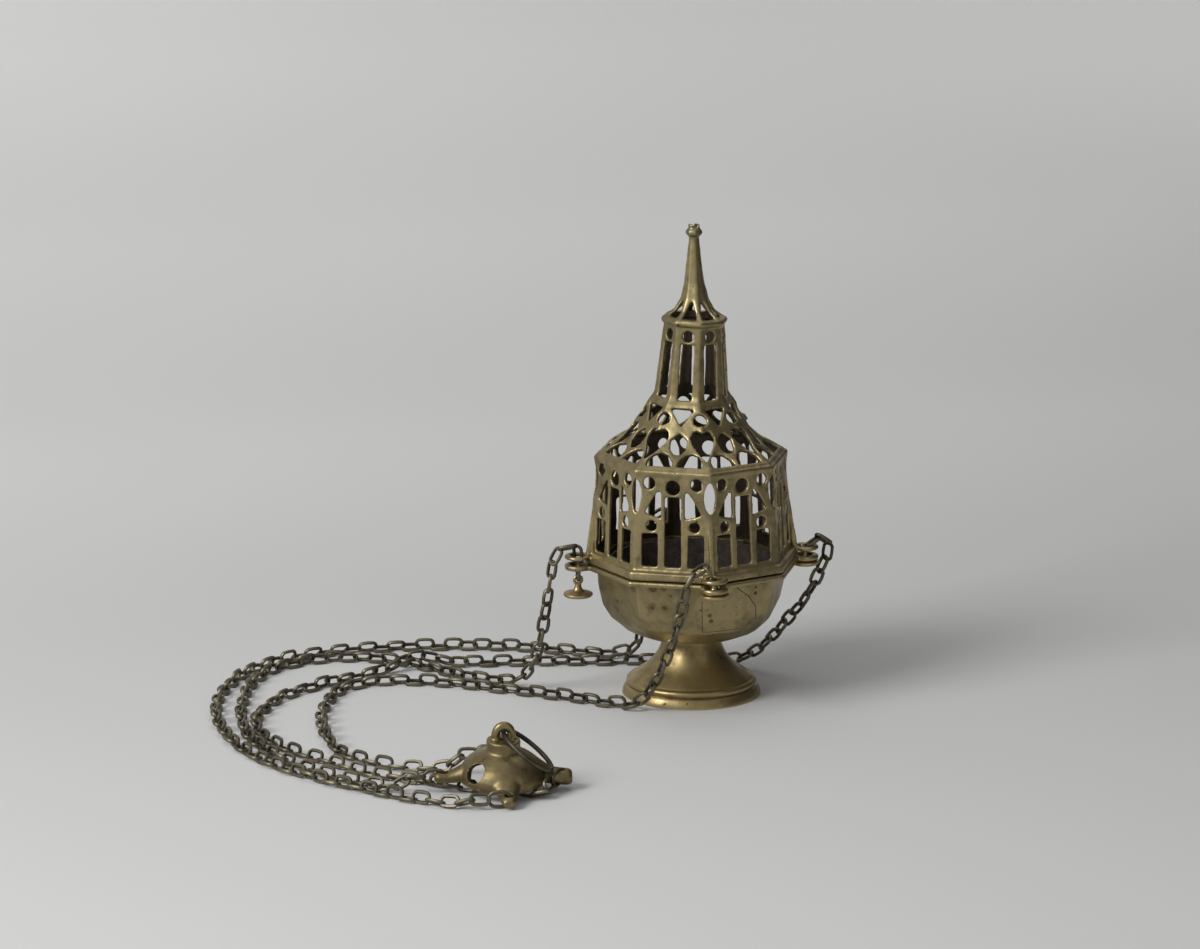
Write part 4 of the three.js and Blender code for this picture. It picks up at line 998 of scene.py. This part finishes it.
# and each arm of the plate holds a larger one
for arm, (out, away) in arms.items():
    centre = armSpot(arm, (armLink["length"] - armLink["wire"]) / 2 - armLink["setBack"])
    along = centre - armSpot(arm, 0)
    across = plateFrame.to_3x3() @ Vector((-math.sin(math.radians(away)), math.cos(math.radians(away)), 0))
    if arm == coilTurns["arm"]:
        # three turns of thinner wire, fanned out from the hole
        start, turns = armSpot(arm, 0), []
        for fan in coilTurns["fan"]:
            spread = Matrix.Rotation(math.radians(fan), 3, along.cross(across))
            turns.append(placedLink(coilShape, start + spread @ along, spread @ along, spread @ across))
        piece = joined("coil", turns)
    else:
        piece = placedLink(armLinkShape, centre, along, across)
    piece.name = piece.data.name = "arm_link_%s_wire" % arm
    smoothed(piece, wireSmooth)
    dress(piece, chainBrass, "hand_plate", "chain_brass", "arm_link_" + arm)

# the carrying ring hangs in the plate's loop and lies over to the right
ring = {"radius": 14.6, "wire": 2.3, "lean": 37.0, "height": 23.4, "around": 72, "across": 14}
deselectAll()
bpy.ops.mesh.primitive_torus_add(
    major_radius=ring["radius"] / 1000, minor_radius=ring["wire"] / 2000,
    major_segments=ring["around"], minor_segments=ring["across"])
ringPiece = bpy.context.object
ringPiece.name = ringPiece.data.name = "carrying_ring_wire"
ringPiece.data.transform(
    plateFrame @ Matrix.Translation((0, 0, ring["height"] / 1000))
    @ Matrix.Rotation(math.radians(ring["lean"]), 4, "Y") @ Matrix.Translation((ring["radius"] / 1000, 0, 0)))
smoothed(ringPiece, wireSmooth)
dress(ringPiece, chainBrass, "carrying_ring", "chain_brass", "carrying_ring")

for shape in (linkShape, armLinkShape, coilShape):
    bpy.data.objects.remove(shape)
print("links and ring made")


# places and sizes in metres
studio = {
    "floor": {"size": (14, 7), "front": -1.2, "bend": 0.16, "steps": 12, "wall": 6},
    "paperPaintedLight": [(-0.4, 0.59), (0.2, 0.55), (0.7, 0.67), (1.35, 0.80), (2.3, 0.90)],   # how far back, and the painted grey there: painted light, paler towards the back
    "paperBlue": 0.993,
    "glow": (1.0, 2.4, 0.11),                       # painted light that glows on the paper for the camera: how far back it starts and ends, and its strength
    "glowSide": (-0.5, 0.6),                        # where the painted glow fades out to the right
    "world": 0.55,
    "worldColour": (0.78, 0.78, 0.77, 1),
    "aim": (-40, -20, 80),                          # mm from the thurible's axis
    "key": {"place": (-1.8, -0.85, 1.5), "size": 1.1, "power": 47},
    "fill": {"place": (1.7, -2.2, 1.6), "size": 1.6, "power": 4},
    "top": {"place": (0.1, 0.6, 2.4), "size": 1.8, "power": 6},
    "card": {"place": (1.0, 0.1, 0.75), "size": (2.6, 1.5), "colour": (0.03, 0.03, 0.03)},
}


def makeCard(card):
    # a black card on the right, out of the main view, which keeps that side of the metal dark
    deselectAll()
    bpy.ops.mesh.primitive_plane_add(size=1, location=card["place"], rotation=(math.pi / 2, 0, math.pi / 2))
    piece = bpy.context.object
    piece.name = piece.data.name = "studio_card"
    piece.scale = (card["size"][0], card["size"][1], 1)
    settle(piece)
    piece.data.materials.append(Paint("studioBlack").set(Base_Color=card["colour"], Roughness=0.9))


def makePaper():
    # the paper's grey is painted paler away from the front as painted light, and a strip of it glows for the
    # camera as painted light
    p = Paint("studioPaper")
    away, side = p.axis("Y"), p.axis("X")
    # painted light: the grey is ramped paler towards the back
    (start, first), *rest = studio["paperPaintedLight"]
    grey = first
    for place, tone in rest:
        grey = grey + away.ramp(start, place) * (tone - first)
        start, first = place, tone
    colour = p.node("ShaderNodeCombineColor", {}, {0: grey, 1: grey, 2: grey * studio["paperBlue"]})
    seen = p.node("ShaderNodeLightPath", {}, {}, "Is Camera Ray")
    begin, end, strength = studio["glow"]
    # painted light: a glow on the paper, seen only by the camera
    glow = seen * away.ramp(begin, end) * (1 - side.ramp(*studio["glowSide"])) * strength
    light = p.node("ShaderNodeCombineColor", {}, {0: glow, 1: glow, 2: glow})
    return p.set(Base_Color=colour, Roughness=0.95, Emission_Color=light, Emission_Strength=1.0)


def makeFloor(values):
    # a sheet whose back edge is drawn out into a bend and then a wall
    deselectAll()
    bpy.ops.mesh.primitive_plane_add(size=1, location=(0, 0, 0))
    floor = bpy.context.object
    floor.name = floor.data.name = "studio_floor"
    floor.data.transform(Matrix.Diagonal((*values["size"], 1, 1)))
    openMesh(floor, "DESELECT")
    closeMesh()
    selectWhere(floor.data, lambda place: place.y > 0)
    bpy.ops.object.mode_set(mode="EDIT")
    turn, bend = 90 / values["steps"], values["bend"]
    for step in range(values["steps"]):
        a = math.radians(turn * step + turn / 2)
        move = (0, bend * math.cos(a), bend * math.sin(a))
        bpy.ops.mesh.extrude_edges_move(TRANSFORM_OT_translate={"value": move})
    bpy.ops.mesh.extrude_edges_move(TRANSFORM_OT_translate={"value": (0, 0, values["wall"])})
    closeMesh()
    floor.data.transform(Matrix.Translation((0, values["front"], 0)))
    smoothed(floor, 60)
    floor.data.materials.append(makePaper())


def makeLamp(name, lamp):
    data = bpy.data.lights.new(name, "AREA")
    data.energy, data.size = lamp["power"], lamp["size"]
    light = bpy.data.objects.new(name, data)
    place = Vector(lamp["place"])
    aim = mm(*studio["aim"]) - place
    light.matrix_world = Matrix.Translation(place) @ aim.to_track_quat("-Z", "Y").to_matrix().to_4x4()
    bpy.context.collection.objects.link(light)


makeFloor(studio["floor"])
makeCard(studio["card"])
for name in ("key", "fill", "top"):
    makeLamp(name, studio[name])
world = bpy.data.worlds.new("studio")
world.use_nodes = True
background = world.node_tree.nodes["Background"]
background.inputs["Color"].default_value = studio["worldColour"]
background.inputs["Strength"].default_value = studio["world"]
bpy.context.scene.world = world
print("stage set")

bpy.context.view_layer.update()
